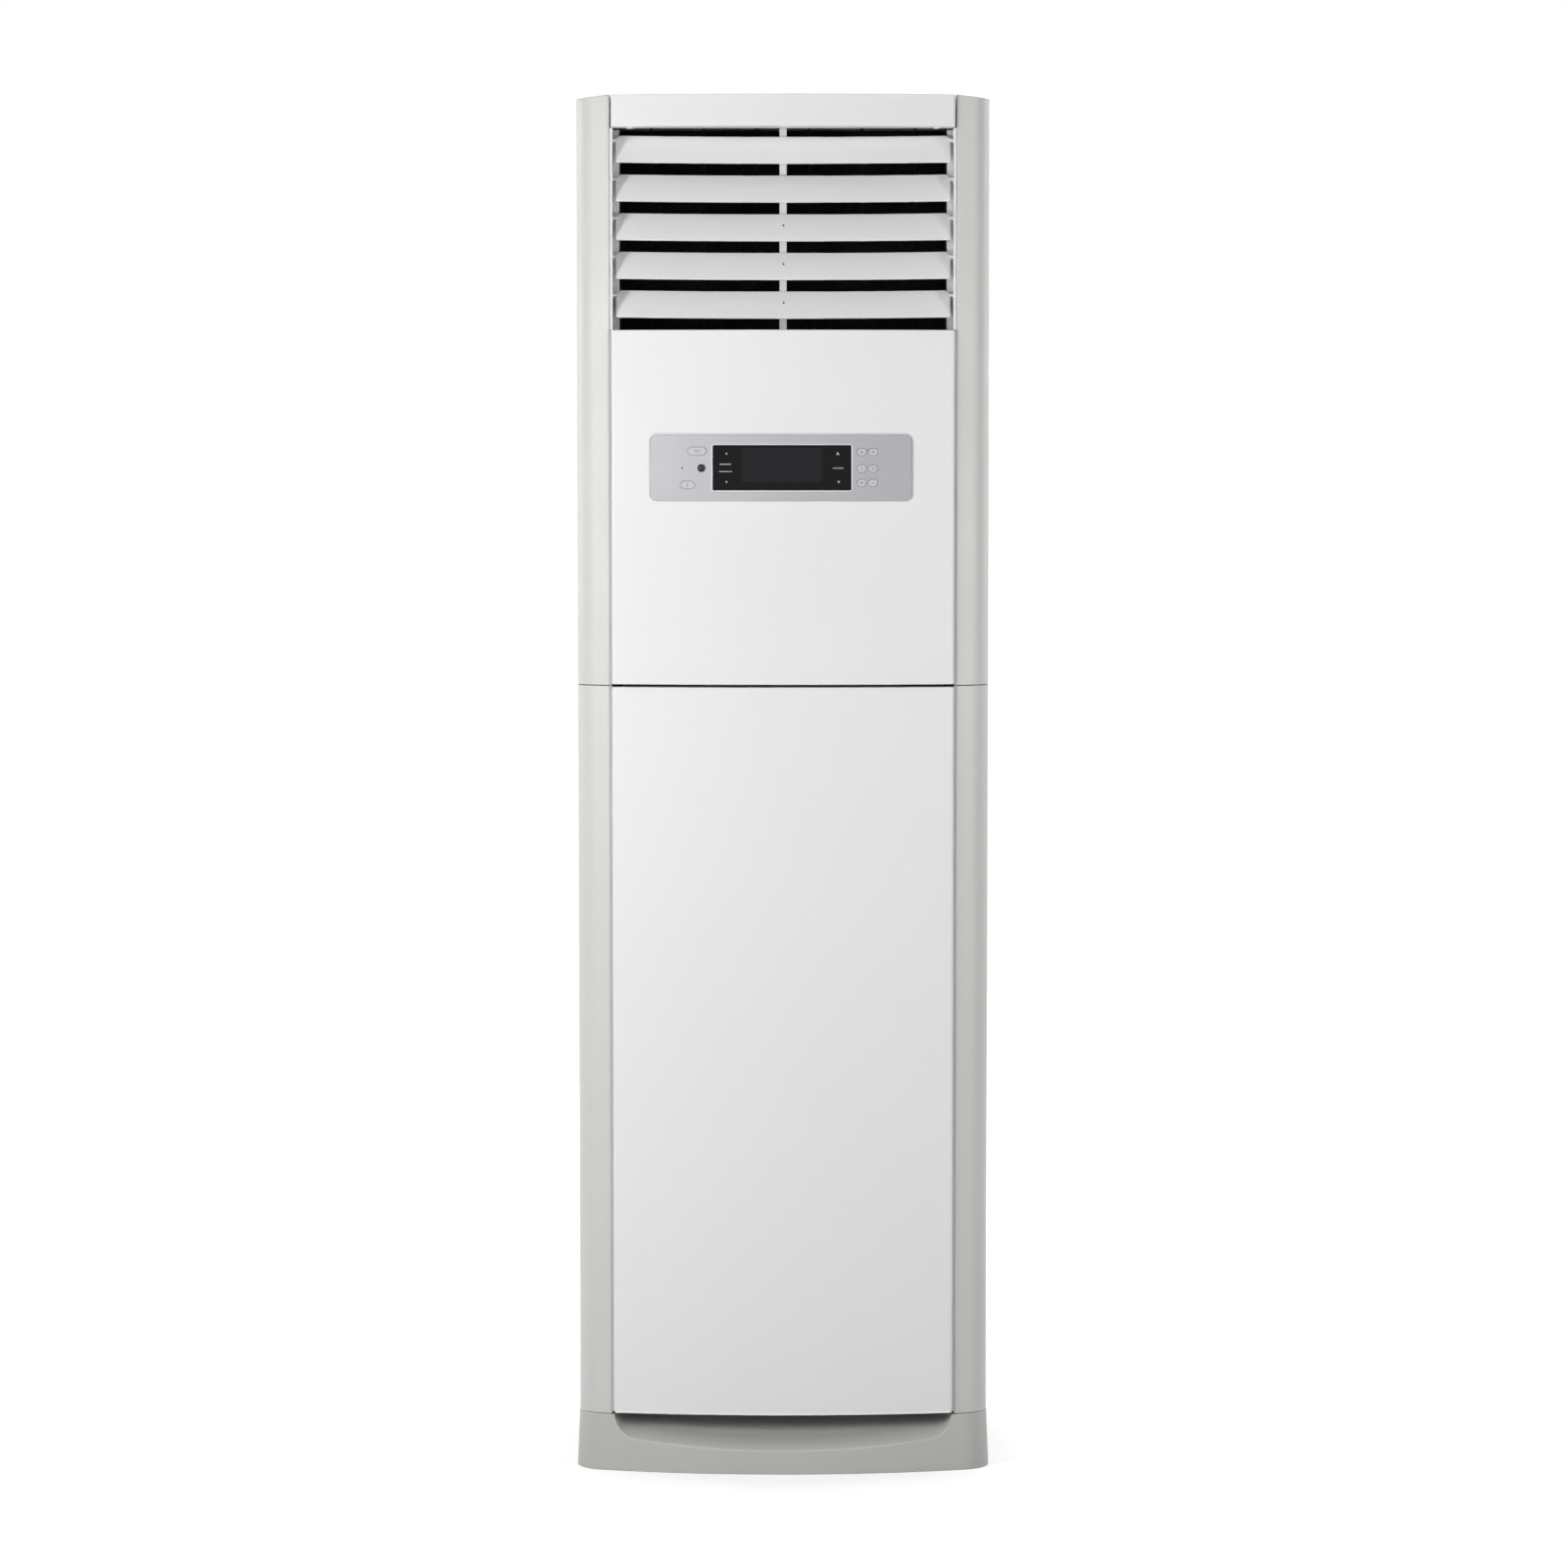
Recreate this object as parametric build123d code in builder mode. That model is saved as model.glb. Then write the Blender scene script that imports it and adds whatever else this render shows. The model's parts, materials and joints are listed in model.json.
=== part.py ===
"""Floor standing air conditioner: a column cabinet with a ganged louvre outlet at the top.

Frame: +Z up, front towards -Y, origin on the floor under the middle of the cabinet. Millimetres.
"""

from build123d import *
from math import asin, cos, degrees, radians, sin, sqrt, tan
import os

# ---------------------------------------------------------------- heights, stacked from the floor
PLINTH_HEIGHT = 75.0
PANEL_FOOT_GAP = 2.5
LOWER_PANEL_HEIGHT = 969.8
SEAM_GAP = 3.5
UPPER_PANEL_HEIGHT = 466.0
OUTLET_HEIGHT = 265.0
STRIP_HEIGHT = 42.2

LOWER_BOTTOM = PLINTH_HEIGHT + PANEL_FOOT_GAP
LOWER_TOP = LOWER_BOTTOM + LOWER_PANEL_HEIGHT
UPPER_BOTTOM = LOWER_TOP + SEAM_GAP
UPPER_TOP = UPPER_BOTTOM + UPPER_PANEL_HEIGHT
STRIP_BOTTOM = UPPER_TOP + OUTLET_HEIGHT
HEIGHT = STRIP_BOTTOM + STRIP_HEIGHT

# ---------------------------------------------------------------- cabinet plan
PLASTIC = 3.0                # wall of the moulded pieces
SHEET = 1.2                  # wall of the steel pieces
FIT = 0.3                    # clearance round a piece that slides or drops in
PIN_FIT = 0.05               # radial clearance of a pin in its bore

DEPTH = 410.0                # plinth front to the rear edge of the side panels
PANEL_WIDTH = 452.0
PANEL_GAP = 1.5              # between a panel's side and the pillar
PANEL_SETBACK = 9.0          # panels stand this far behind the plinth's front
PANEL_BOW_RADIUS = 1430.0
PANEL_EDGE_RADIUS = 4.5
PANEL_FOOT_RADIUS = 5.0      # lower panel's bottom corners, seen from the front
PANEL_RIM_RADIUS = 1.2       # softened top and bottom edges
PANEL_DEPTH = 44.0           # bowed front to the rear edge of the panel's sides
PILLAR_WIDTH = 45.0
PILLAR_STEP = 5.0            # panel edge stands this far in front of the pillar
PILLAR_SWEEP = 18.0          # fall of the pillar's face to its outer corner
PILLAR_DEPTH = 86.0          # panel front to the pillar's rear edge
PILLAR_RETURN = 33.0         # inner wall beside the panel
PILLAR_CORNER_RADIUS = 34.0
PILLAR_NOSE_RADIUS = 2.0
PILLAR_SEAM = 1.0            # fine line between upper and lower pillar
PILLAR_TOP_FALL = 4.0        # pillar top slopes down by this much to the outside
STRIP_CLIP_X = 201.0         # two small clips under the strip
STRIP_CLIP_WIDTH = 8.0
STRIP_CLIP_HEIGHT = 2.0
CUT_MARGIN = 1.0             # cutters reach this far past the faces they open
FRONT_MARGIN = 20.0          # and start this far in front of the panels

HALF_PANEL = PANEL_WIDTH / 2
PILLAR_IN = HALF_PANEL + PANEL_GAP
PILLAR_OUT = PILLAR_IN + PILLAR_WIDTH
BACK = DEPTH / 2
PANEL_APEX = -BACK + PANEL_SETBACK
PANEL_BACK = PANEL_APEX + PANEL_DEPTH
PILLAR_BACK = PANEL_APEX + PILLAR_DEPTH


def bow_y(x, apex=PANEL_APEX, radius=PANEL_BOW_RADIUS):
    """Y of a bowed front at a distance x from the middle."""
    return apex + radius - sqrt(radius**2 - x**2)


PANEL_SIDE_Y = bow_y(HALF_PANEL)
PILLAR_FRONT = PANEL_SIDE_Y + PILLAR_STEP

# ---------------------------------------------------------------- plinth
PLINTH_FLARE = 3.0           # the plinth spreads by this much down to the floor
PLINTH_PROUD = 0.5           # its top edge stands this far outside the pillars
PLINTH_BOW_RADIUS = 950.0
PLINTH_CORNER_RADIUS = 44.0
SCOOP_SIDE = 1.0             # the recess ends this far inside the panel's edges
SCOOP_LIP = 30.0             # height of the recess lip in the middle
SCOOP_SLOPE = 30.0           # degrees, floor of the recess
SCOOP_CORNER_RADIUS = 28.0

# ---------------------------------------------------------------- sheet cabinet
COVER_HEIGHT = 18.0          # skirt of the top cover
ROOF_DROP = 4.0              # roof lies this far under the strip's top
FLANGE = 14.0                # returns along the edges of the side panels
SCREW_HEAD_HEIGHT = 2.0
SCREW_HEAD_RADIUS = 4.0
SCREW_SHANK_RADIUS = 2.0
SCREW_LENGTH = 8.0
REAR_SCREW_COUNT = 6
REAR_SCREW_INSET = 7.0
REAR_SCREW_END = 21.0        # first and last screw from the ends of the side returns
TIE_SPACING = 300.0          # fixing holes for the wall tie, high on the rear panel
TIE_HOLE_RADIUS = 2.75
TIE_DROP = 40.0              # below the roof
PAN_FLANGE = 40.0
ANCHOR_X = 440.0
ANCHOR_Y = 240.0
ANCHOR_CENTRE_Y = 50.0
ANCHOR_RADIUS = 5.0

ROOF_TOP = HEIGHT - ROOF_DROP
COVER_BOTTOM = ROOF_TOP - COVER_HEIGHT
SIDE_IN = PILLAR_OUT - SHEET
REAR_OUT = BACK - SCREW_HEAD_HEIGHT
REAR_IN = REAR_OUT - SHEET
PILLAR_CLEAR = 1.0           # fixed inner pieces stay this far behind the pillars' inner walls
INNER_FRONT = PILLAR_FRONT + PILLAR_RETURN + PILLAR_CLEAR

# ---------------------------------------------------------------- louvres
LOUVRE_COUNT = 5
LOUVRE_FIRST_DROP = 16.5     # first pivot below the strip
LOUVRE_LAST_RISE = 45.9      # last pivot above the upper panel
LOUVRE_PIVOT_SETBACK = 46.0  # pivot line behind the panel front
LOUVRE_TILT = 31.0           # degrees from upright at rest
LOUVRE_NOSE = 36.0           # pivot to the front edge
LOUVRE_TAIL = 6.0            # pivot to the rear edge
LOUVRE_THICK = 2.6
LOUVRE_CROWN = 1.3
LOUVRE_EDGE_RADIUS = 1.04
LOUVRE_END_GAP = 4.0         # blade end to the frame's cheek
LOUVRE_BOW = 2.0             # bow of the blade along its length
LOUVRE_TAIL_CORNER = 11.0
LOUVRE_NOSE_CORNER = 3.0
LOUVRE_PIN_RADIUS = 2.5
LOUVRE_PIN_ROOT = 6.0        # length of the pin's root inside the blade
LINK_ARM = 18.0              # pivot to the link pin
LINK_PIN_RADIUS = 2.0
LINK_WIDTH = 9.5
LINK_THICK = 5.0
LINK_BOSS_RADIUS = 4.2
LINK_OVERRUN_TOP = 28.5      # bar above the first link pin
LINK_OVERRUN_BOTTOM = 45.0   # bar below the last link pin
LUG_THICK = 2.0
LUG_GAP = 0.75
LUG_RADIUS = 4.0
MARK_RADIUS = 1.0            # small hole in the middle of the lower louvres
MARK_FIRST = 2               # first louvre with the hole, counted from zero
MARK_SETBACK = 11.6          # pivot to the hole along the blade

LOUVRE_PIVOT_Y = PANEL_APEX + LOUVRE_PIVOT_SETBACK
LOUVRE_FIRST_Z = STRIP_BOTTOM - LOUVRE_FIRST_DROP
LOUVRE_RUN = OUTLET_HEIGHT - LOUVRE_FIRST_DROP - LOUVRE_LAST_RISE
LOUVRE_PITCH = LOUVRE_RUN / (LOUVRE_COUNT - 1)
CHEEK_GAP = 0.1
CHEEK_THICK = 3.4
CHEEK_OUT = PILLAR_IN - CHEEK_GAP
CHEEK_IN = CHEEK_OUT - CHEEK_THICK
LOUVRE_HALF = CHEEK_IN - LOUVRE_END_GAP

# ---------------------------------------------------------------- outlet duct and vanes
DUCT_WALL = 3.0
DUCT_STEP = 7.5              # the duct is narrower than the louvre bay by this much a side
DUCT_HEADROOM = 14.3         # duct roof above the strip's lower edge, floor alike below the panel
BAY_FRONT_MARGIN = 22.0      # cheek in front of the louvre pivot
BAY_BACK_MARGIN = 22.0       # cheek behind it
DUCT_LENGTH = 98.0           # step to the duct's rear end
LIP_DEPTH = 3.0
VANE_COUNT = 6
VANE_PITCH = 70.0
VANE_THICK = 1.6
VANE_EDGE_RADIUS = 0.72
VANE_CHORD_FRONT = 28.0
VANE_CHORD_REAR = 28.0
VANE_SETBACK = 36.0          # vane pivots behind the duct's step
VANE_END_GAP = 2.0
VANE_PIN_RADIUS = 2.0
VANE_PIN_ROOT = 6.0
VANE_ARM = 22.0              # pivot to the link pin
VANE_NOTCH = 22.0            # height of the notch that clears the link
VANE_NOTCH_DEPTH = 9.0       # notch in front of the link pin
VANE_LINK_PIN_RADIUS = 1.5
VANE_LINK_DEPTH = 10.0
VANE_LINK_THICK = 8.0
VANE_LINK_CORNER = 3.0
VANE_LINK_OVERRUN = 8.0
SWING_MOTOR_RADIUS = 14.0
SWING_MOTOR_HEIGHT = 20.0
SWING_SHAFT = 8.0            # vane pin's extra length in the motor
SWING_EAR_OFFSET = 17.5      # fixing holes of the motor's ears
SWING_EAR_WIDTH = 7.0
SWING_EAR_THICK = 1.0
SWING_EAR_HOLE = 1.7

BAY_FRONT = LOUVRE_PIVOT_Y - BAY_FRONT_MARGIN
STEP_Y = LOUVRE_PIVOT_Y + BAY_BACK_MARGIN
DUCT_BACK = STEP_Y + DUCT_LENGTH
DUCT_HALF = CHEEK_IN - DUCT_STEP
DUCT_FLOOR = UPPER_TOP - DUCT_HEADROOM - PLASTIC
DUCT_ROOF = STRIP_BOTTOM + DUCT_HEADROOM
VANE_Y = STEP_Y + VANE_SETBACK
VANE_MID_Z = (DUCT_FLOOR + DUCT_ROOF) / 2

# ---------------------------------------------------------------- display and keys
DISPLAY_X = -2.6             # middle of the display, a little left of centre
DISPLAY_Z = 285.5            # middle of the display above the panel's lower edge
BEZEL_WIDTH = 344.0
BEZEL_HEIGHT = 87.0
BEZEL_RADIUS = 9.0
BEZEL_PROUD = 2.5
BEZEL_RIM = 0.8
WINDOW_X = 1.2               # middle of the window from the middle of the bezel
WINDOW_WIDTH = 182.0
WINDOW_HEIGHT = 59.0
WINDOW_RADIUS = 1.5
WINDOW_RECESS = 0.4
WINDOW_THICK = 2.0
PORT_WIDTH = 304.0           # hole in the panel behind the bezel
PORT_HEIGHT = 74.0
RECEIVER_AT = (-104.6, -0.5)
RECEIVER_RADIUS = 5.3
LAMP_AT = (-130.0, -0.5)
LAMP_RADIUS = 1.2
# middle of each key from the middle of the bezel, with its width and height
KEYS = [
    (-110.3, 21.8, 24.0, 10.6),
    (-122.9, -22.5, 19.0, 10.0),
    (105.8, 20.6, 12.0, 10.0),
    (120.7, 20.6, 12.0, 10.0),
    (105.8, -1.2, 12.0, 10.0),
    (120.7, -1.2, 12.0, 10.0),
    (105.8, -19.9, 12.0, 10.0),
    (120.7, -19.9, 12.0, 10.0),
]
KEY_PROUD = 1.0
KEY_TRAVEL = 0.8
KEY_FLANGE = 1.0
KEY_FLANGE_THICK = 1.4
KEY_STEM_RADIUS = 1.6
KEY_GAP = 0.1                # stem to switch when pressed home
BOARD_SETBACK = 21.0         # switch board behind the panel front
BOARD_THICK = 1.6
BOARD_MARGIN = 4.0
SWITCH_SIZE = 6.0
SWITCH_HEIGHT = 3.5
POST_RADIUS = 3.0
POST_INSET = 9.0

BEZEL_Z = UPPER_BOTTOM + DISPLAY_Z
BOARD_FRONT = PANEL_APEX + BOARD_SETBACK

# ---------------------------------------------------------------- lower panel hinge
PANEL_HINGE_SETBACK = 30.0   # hinge line behind the panel front
PANEL_HINGE_DROP = 7.3       # and below the panel's top
PANEL_HINGE_RADIUS = 3.0
PANEL_HINGE_Y = PANEL_APEX + PANEL_HINGE_SETBACK
PANEL_HINGE_Z = LOWER_TOP - PANEL_HINGE_DROP

# ---------------------------------------------------------------- side intakes
INTAKE_Y = 45.0              # middle of the intake
INTAKE_WIDTH = 210.0
INTAKE_BOTTOM = 150.0
INTAKE_HEIGHT = 500.0
INTAKE_GAP = 1.5
INTAKE_TOP_GAP = 3.0
GRILLE_DEPTH = 13.0
GRILLE_INSET = 0.5           # grille face behind the side panel's face
GRILLE_FRAME = 10.0
GRILLE_SLAT = 2.4
GRILLE_SLAT_COUNT = 31
GRILLE_SLAT_TILT = 35.0
GRILLE_RIB = 6.0
GRILLE_HINGE_DROP = 6.0
GRILLE_HINGE_RADIUS = 2.5
JAMB_DEPTH = 16.0
FILTER_THICK = 4.0
FILTER_MESH = 1.0
FILTER_BORDER = 6.0
FILTER_INSET = 5.0

INTAKE_TOP = INTAKE_BOTTOM + INTAKE_HEIGHT
GRILLE_OUT = PILLAR_OUT - GRILLE_INSET
GRILLE_IN = GRILLE_OUT - GRILLE_DEPTH
GRILLE_HALF = INTAKE_WIDTH / 2 - INTAKE_GAP
GRILLE_TOP = INTAKE_TOP - INTAKE_TOP_GAP
GRILLE_BOTTOM = INTAKE_BOTTOM + INTAKE_GAP
GRILLE_HINGE_X = GRILLE_IN + GRILLE_HINGE_RADIUS + CUT_MARGIN
GRILLE_HINGE_Z = GRILLE_TOP - GRILLE_HINGE_DROP

# ---------------------------------------------------------------- control box
BOX_X = -20.0
BOX_WIDTH = 360.0
BOX_HEIGHT = 160.0
BOX_DEPTH = 72.0
BOX_STANDOFF = 8.0
CARD_MARGIN = 14.0
CARD_THICK = 1.6
TERMINAL_WIDTH = 70.0
TERMINAL_HEIGHT = 26.0
TERMINAL_DEPTH = 24.0
TERMINAL_WAYS = 5
TERMINAL_INSET = 4.0         # terminals from the board's right edge
TERMINAL_RISE = 30.0         # terminals above the middle of the board
TERMINAL_HOLE = 4.2

# ---------------------------------------------------------------- fan
DECK_Z = 700.0
WHEEL_RADIUS = 160.0
WHEEL_RING = 30.0            # radial depth of the blade cascade
WHEEL_PLATE = 2.0
WHEEL_BLADES = 38
WHEEL_BLADE_THICK = 1.6
WHEEL_BLADE_TURN = 30.0
HUB_RADIUS = 20.0
HUB_LENGTH = 34.0
SHAFT_RADIUS = 6.0
SHAFT_LENGTH = 120.0
SHAFT_CHAMFER = 0.8
TONGUE_GAP = 18.0            # wheel to the tightest part of the scroll
SCROLL_STEP = 16.0           # growth of the scroll radius at each quarter turn
SCROLL_WALL = 2.0
SCROLL_CLEAR = 3.8           # scroll behind the control box
WHEEL_Z = 385.0
WHEEL_FRONT_GAP = 14.0       # wheel to the scroll's front
WHEEL_BACK_GAP = 22.0        # and to its back
RING_THROAT = 118.0
RING_OUTER = 150.0
RING_DEPTH = 22.0
RING_THICK = 2.0
INLET_RADIUS = RING_THROAT + RING_DEPTH + FIT
MOTOR_RADIUS = 72.0
MOTOR_LENGTH = 80.0
MOTOR_RIM_RADIUS = 6.0
MOTOR_CLEAR = 30.0           # motor to the rear panel
MOTOR_FLANGE = 4.0
MOTOR_FLANGE_RADIUS = 90.0
MOTOR_PORT_RADIUS = 34.0
MOTOR_LUGS = 4
MOTOR_LUG_RADIUS = 81.0

SCROLL_FRONT = INNER_FRONT + SHEET + BOX_DEPTH + SCROLL_CLEAR
SCROLL_BACK = REAR_IN - MOTOR_CLEAR - MOTOR_LENGTH
SCROLL_DEPTH = SCROLL_BACK - SCROLL_FRONT
WHEEL_FRONT = SCROLL_FRONT + WHEEL_FRONT_GAP
WHEEL_BACK = SCROLL_BACK - WHEEL_BACK_GAP
WHEEL_DEPTH = WHEEL_BACK - WHEEL_FRONT

# ---------------------------------------------------------------- coil and drain pan
PAN_HEIGHT = 43.0
PAN_DEPTH = 80.0
PAN_HALF = 250.0
PAN_WALL = 2.0
DRAIN_RADIUS = 10.0
DRAIN_BORE = 8.0
DRAIN_LENGTH = 54.0          # bare stub below its collar
DRAIN_COLLAR_RADIUS = 12.5
DRAIN_COLLAR_DROP = 6.0      # collar below the deck
DRAIN_X = -228.0
COIL_LENGTH = 690.0
COIL_THICK = 42.0
COIL_HALF = 215.0
COIL_FOOT_GAP = 24.0         # coil's lower end above the pan's floor
COIL_TOP_CLEAR = 32.5        # coil's upper end to the rear panel
COIL_GROOVES = 36
COIL_GROOVE = 2.0
COIL_GROOVE_PITCH = 11.5
END_PLATE_GAP = 1.0
END_PLATE_FOOT = 26.0
END_PLATE_TONGUE = 30.0      # strap from the plate to the rear panel
END_PLATE_TONGUE_DROP = 60.0
BEND_COUNT = 14
BEND_PITCH = 46.0
BEND_RADIUS = 11.0
TUBE_RADIUS = 4.76
SUCTION_RADIUS = 9.5
LIQUID_RADIUS = 4.8
PIPE_BEND = 28.0
LIQUID_BEND = 14.0
SUCTION_X = 244.0            # header lines beside the coil
LIQUID_X = 227.0
HEADER_LOW = 165.0           # header ends along the coil
HEADER_HIGH = 650.0
STUB_COUNT = 6
STUB_START = 0.3             # first stub above the header's end, in stub pitches
STUB_STEP = 0.9
STUB_RADIUS = 3.8
SUCTION_RISE = 70.0          # upright runs of the two pipes above the deck
LIQUID_RISE = 50.0
PIPE_CLEAR = 2.0             # deck holes round the pipes

COIL_FOOT_Y = INNER_FRONT + PAN_DEPTH / 2
COIL_REACH = REAR_IN - COIL_TOP_CLEAR - COIL_THICK / 2 - COIL_FOOT_Y
COIL_TILT = degrees(asin(COIL_REACH / COIL_LENGTH))

# ---------------------------------------------------------------- pipe and cable exits
EXIT_X = 205.0
EXIT_Z = 298.0
EXIT_RADIUS = 32.0
GROMMET_WALL = 5.0
GROMMET_LIP = 3.0
SUCTION_AT = (6.0, 9.0)      # union centres from the middle of the exit
LIQUID_AT = (-13.0, -12.0)
UNION_SETBACK = 11.8         # union's end in front of the rear panel
SUCTION_DROP_SETBACK = 66.0  # upright runs of the two pipes in front of the rear panel
LIQUID_DROP_SETBACK = 49.5
SUCTION_UNION_RADIUS = 13.5
LIQUID_UNION_RADIUS = 8.0
UNION_LENGTH = 12.0
UNION_THREAD = 10.0          # bare end of the pipe past the union's hexagon
GLAND_X = -180.0
GLAND_Z = 120.0
GLAND_BORE = 7.0
GLAND_RADIUS = 12.0
GLAND_LENGTH = 20.0
GLAND_HEX = 15.0
GLAND_NUT = 4.0

UNION_BACK = REAR_IN - UNION_SETBACK
SUCTION_DROP_Y = REAR_IN - SUCTION_DROP_SETBACK
LIQUID_DROP_Y = REAR_IN - LIQUID_DROP_SETBACK

# ---------------------------------------------------------------- planes and shared shapes
def front_plane(y):
    """Upright plane seen from the front: x to the right, y up, normal towards the viewer."""
    return Plane(origin=(0, y, 0), x_dir=(1, 0, 0), z_dir=(0, -1, 0))


def side_plane(x):
    """Upright plane square to X: its x is the cabinet's Y, its y is up."""
    return Plane(origin=(x, 0, 0), x_dir=(0, 1, 0), z_dir=(1, 0, 0))


def twin(piece):
    """The same piece for the other side of the cabinet."""
    with BuildPart() as other:
        mirror(piece, about=Plane.YZ)
    return other.part


def box_between(low, high):
    """A box given by two opposite corners."""
    size = [b - a for a, b in zip(low, high)]
    with BuildPart() as block:
        with Locations(low):
            Box(*size, align=(Align.MIN, Align.MIN, Align.MIN))
    return block.part


def bow_slab(inner, outer, bottom, top):
    """Slab that follows the panels' bow, between two distances in front of the panel face."""
    half = HALF_PANEL
    r_out = PANEL_BOW_RADIUS + outer
    r_in = PANEL_BOW_RADIUS + inner
    y_out = bow_y(half, PANEL_APEX - outer, r_out)
    y_in = bow_y(half, PANEL_APEX - inner, r_in)
    with BuildPart() as slab:
        with BuildSketch(Plane.XY.offset(bottom)):
            with BuildLine():
                ThreePointArc((-half, y_out), (0, PANEL_APEX - outer), (half, y_out))
                Line((half, y_out), (half, y_in))
                ThreePointArc((half, y_in), (0, PANEL_APEX - inner), (-half, y_in))
                Line((-half, y_in), (-half, y_out))
            make_face()
        extrude(amount=top - bottom)
    return slab.part


def front_shell(bottom, top, back):
    """Bowed panel with closed ends, open at the rear."""
    with BuildPart() as shell:
        with BuildSketch(Plane.XY.offset(bottom)):
            with BuildLine():
                ThreePointArc(
                    (-HALF_PANEL, PANEL_SIDE_Y), (0, PANEL_APEX), (HALF_PANEL, PANEL_SIDE_Y)
                )
                Polyline(
                    (HALF_PANEL, PANEL_SIDE_Y),
                    (HALF_PANEL, back),
                    (-HALF_PANEL, back),
                    (-HALF_PANEL, PANEL_SIDE_Y),
                )
            make_face()
        extrude(amount=top - bottom)
        fillet(shell.edges().filter_by(Axis.Z).group_by(Axis.Y)[0], PANEL_EDGE_RADIUS)
        offset(amount=-PLASTIC, openings=shell.faces().sort_by(Axis.Y)[-1])
        for end in (shell.faces().sort_by(Axis.Z)[0], shell.faces().sort_by(Axis.Z)[-1]):
            rim = end.outer_wire().edges().sort_by(Axis.Y)[:-1]
            fillet(rim, PANEL_RIM_RADIUS)
    return shell.part


# ---------------------------------------------------------------- front panels, strip, pillars
def upper_front_panel():
    with BuildPart() as panel:
        add(front_shell(UPPER_BOTTOM, UPPER_TOP, PANEL_BACK))
        with BuildSketch(front_plane(PANEL_APEX - CUT_MARGIN)):
            with Locations((DISPLAY_X, BEZEL_Z)):
                Rectangle(PORT_WIDTH, PORT_HEIGHT)
        extrude(amount=-(PANEL_DEPTH / 2), mode=Mode.SUBTRACT)
    return panel.part


def lower_front_panel():
    with BuildPart() as panel:
        add(front_shell(LOWER_BOTTOM, LOWER_TOP, PANEL_BACK))
        with BuildSketch(front_plane(PANEL_APEX - CUT_MARGIN)) as outline:
            with Locations((0, LOWER_BOTTOM)):
                Rectangle(
                    2 * HALF_PANEL, LOWER_TOP - LOWER_BOTTOM, align=(Align.CENTER, Align.MIN)
                )
            fillet(outline.vertices().group_by(Axis.Y)[0], PANEL_FOOT_RADIUS)
        extrude(amount=-(PANEL_DEPTH + 2 * CUT_MARGIN), mode=Mode.INTERSECT)
        with BuildSketch(side_plane(HALF_PANEL - PLASTIC)):
            with Locations((PANEL_HINGE_Y, PANEL_HINGE_Z)):
                Circle(PANEL_HINGE_RADIUS)
        extrude(amount=PLASTIC + PANEL_GAP + PLASTIC - FIT)
        with BuildSketch(side_plane(PLASTIC - HALF_PANEL)):
            with Locations((PANEL_HINGE_Y, PANEL_HINGE_Z)):
                Circle(PANEL_HINGE_RADIUS)
        extrude(amount=-(PLASTIC + PANEL_GAP + PLASTIC - FIT))
    return panel.part


def top_front_strip():
    lip_back = BAY_FRONT + BAY_FRONT_MARGIN
    with BuildPart() as strip:
        add(front_shell(STRIP_BOTTOM, HEIGHT, PILLAR_BACK))
        add(
            box_between(
                (-PILLAR_IN, lip_back, STRIP_BOTTOM - CUT_MARGIN),
                (PILLAR_IN, BACK, HEIGHT - PLASTIC),
            ),
            mode=Mode.SUBTRACT,
        )
        with Locations(
            (STRIP_CLIP_X, BAY_FRONT, STRIP_BOTTOM), (-STRIP_CLIP_X, BAY_FRONT, STRIP_BOTTOM)
        ):
            Box(STRIP_CLIP_WIDTH, STRIP_CLIP_WIDTH, 2 * STRIP_CLIP_HEIGHT)
    return strip.part


def pillar(bottom, top):
    """Right-hand column between two heights: inner return, slanted face, rounded corner, side."""
    face_out = PILLAR_FRONT + PILLAR_SWEEP
    with BuildPart() as column:
        with BuildSketch(Plane.XY.offset(bottom)):
            with BuildLine():
                FilletPolyline(
                    (PILLAR_IN, PILLAR_FRONT + PILLAR_RETURN),
                    (PILLAR_IN, PILLAR_FRONT),
                    (PILLAR_OUT, face_out),
                    (PILLAR_OUT, PILLAR_BACK),
                    radius=[PILLAR_NOSE_RADIUS, PILLAR_CORNER_RADIUS],
                )
                offset(amount=PLASTIC, side=Side.LEFT)
            make_face()
        extrude(amount=top - bottom)
    return column.part


def right_pillar_lower():
    with BuildPart() as column:
        add(pillar(PLINTH_HEIGHT + PILLAR_SEAM / 2, LOWER_TOP + SEAM_GAP / 2 - PILLAR_SEAM / 2))
        with BuildSketch(side_plane(PILLAR_IN - CUT_MARGIN)):
            with Locations((PANEL_HINGE_Y, PANEL_HINGE_Z)):
                Circle(PANEL_HINGE_RADIUS + PIN_FIT)
        extrude(amount=PLASTIC + 2 * CUT_MARGIN, mode=Mode.SUBTRACT)
    return column.part


def right_pillar_upper():
    face_out = PILLAR_FRONT + PILLAR_SWEEP
    slope = PILLAR_TOP_FALL / PILLAR_WIDTH
    with BuildPart() as column:
        add(pillar(LOWER_TOP + SEAM_GAP / 2 + PILLAR_SEAM / 2, HEIGHT))
        with BuildSketch(Plane.XY.offset(HEIGHT - 2 * PLASTIC)):
            with BuildLine():
                corner = FilletPolyline(
                    (PILLAR_IN, PILLAR_BACK),
                    (PILLAR_IN, PILLAR_FRONT),
                    (PILLAR_OUT, face_out),
                    (PILLAR_OUT, PILLAR_BACK),
                    radius=[PILLAR_NOSE_RADIUS, PILLAR_CORNER_RADIUS],
                )
                Line(corner @ 1, corner @ 0)
            make_face()
        extrude(amount=2 * PLASTIC)
        tilted = Plane(origin=(PILLAR_IN, 0, HEIGHT), x_dir=(1, 0, -slope), z_dir=(slope, 0, 1))
        split(bisect_by=tilted, keep=Keep.BOTTOM)
    return column.part


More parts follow.
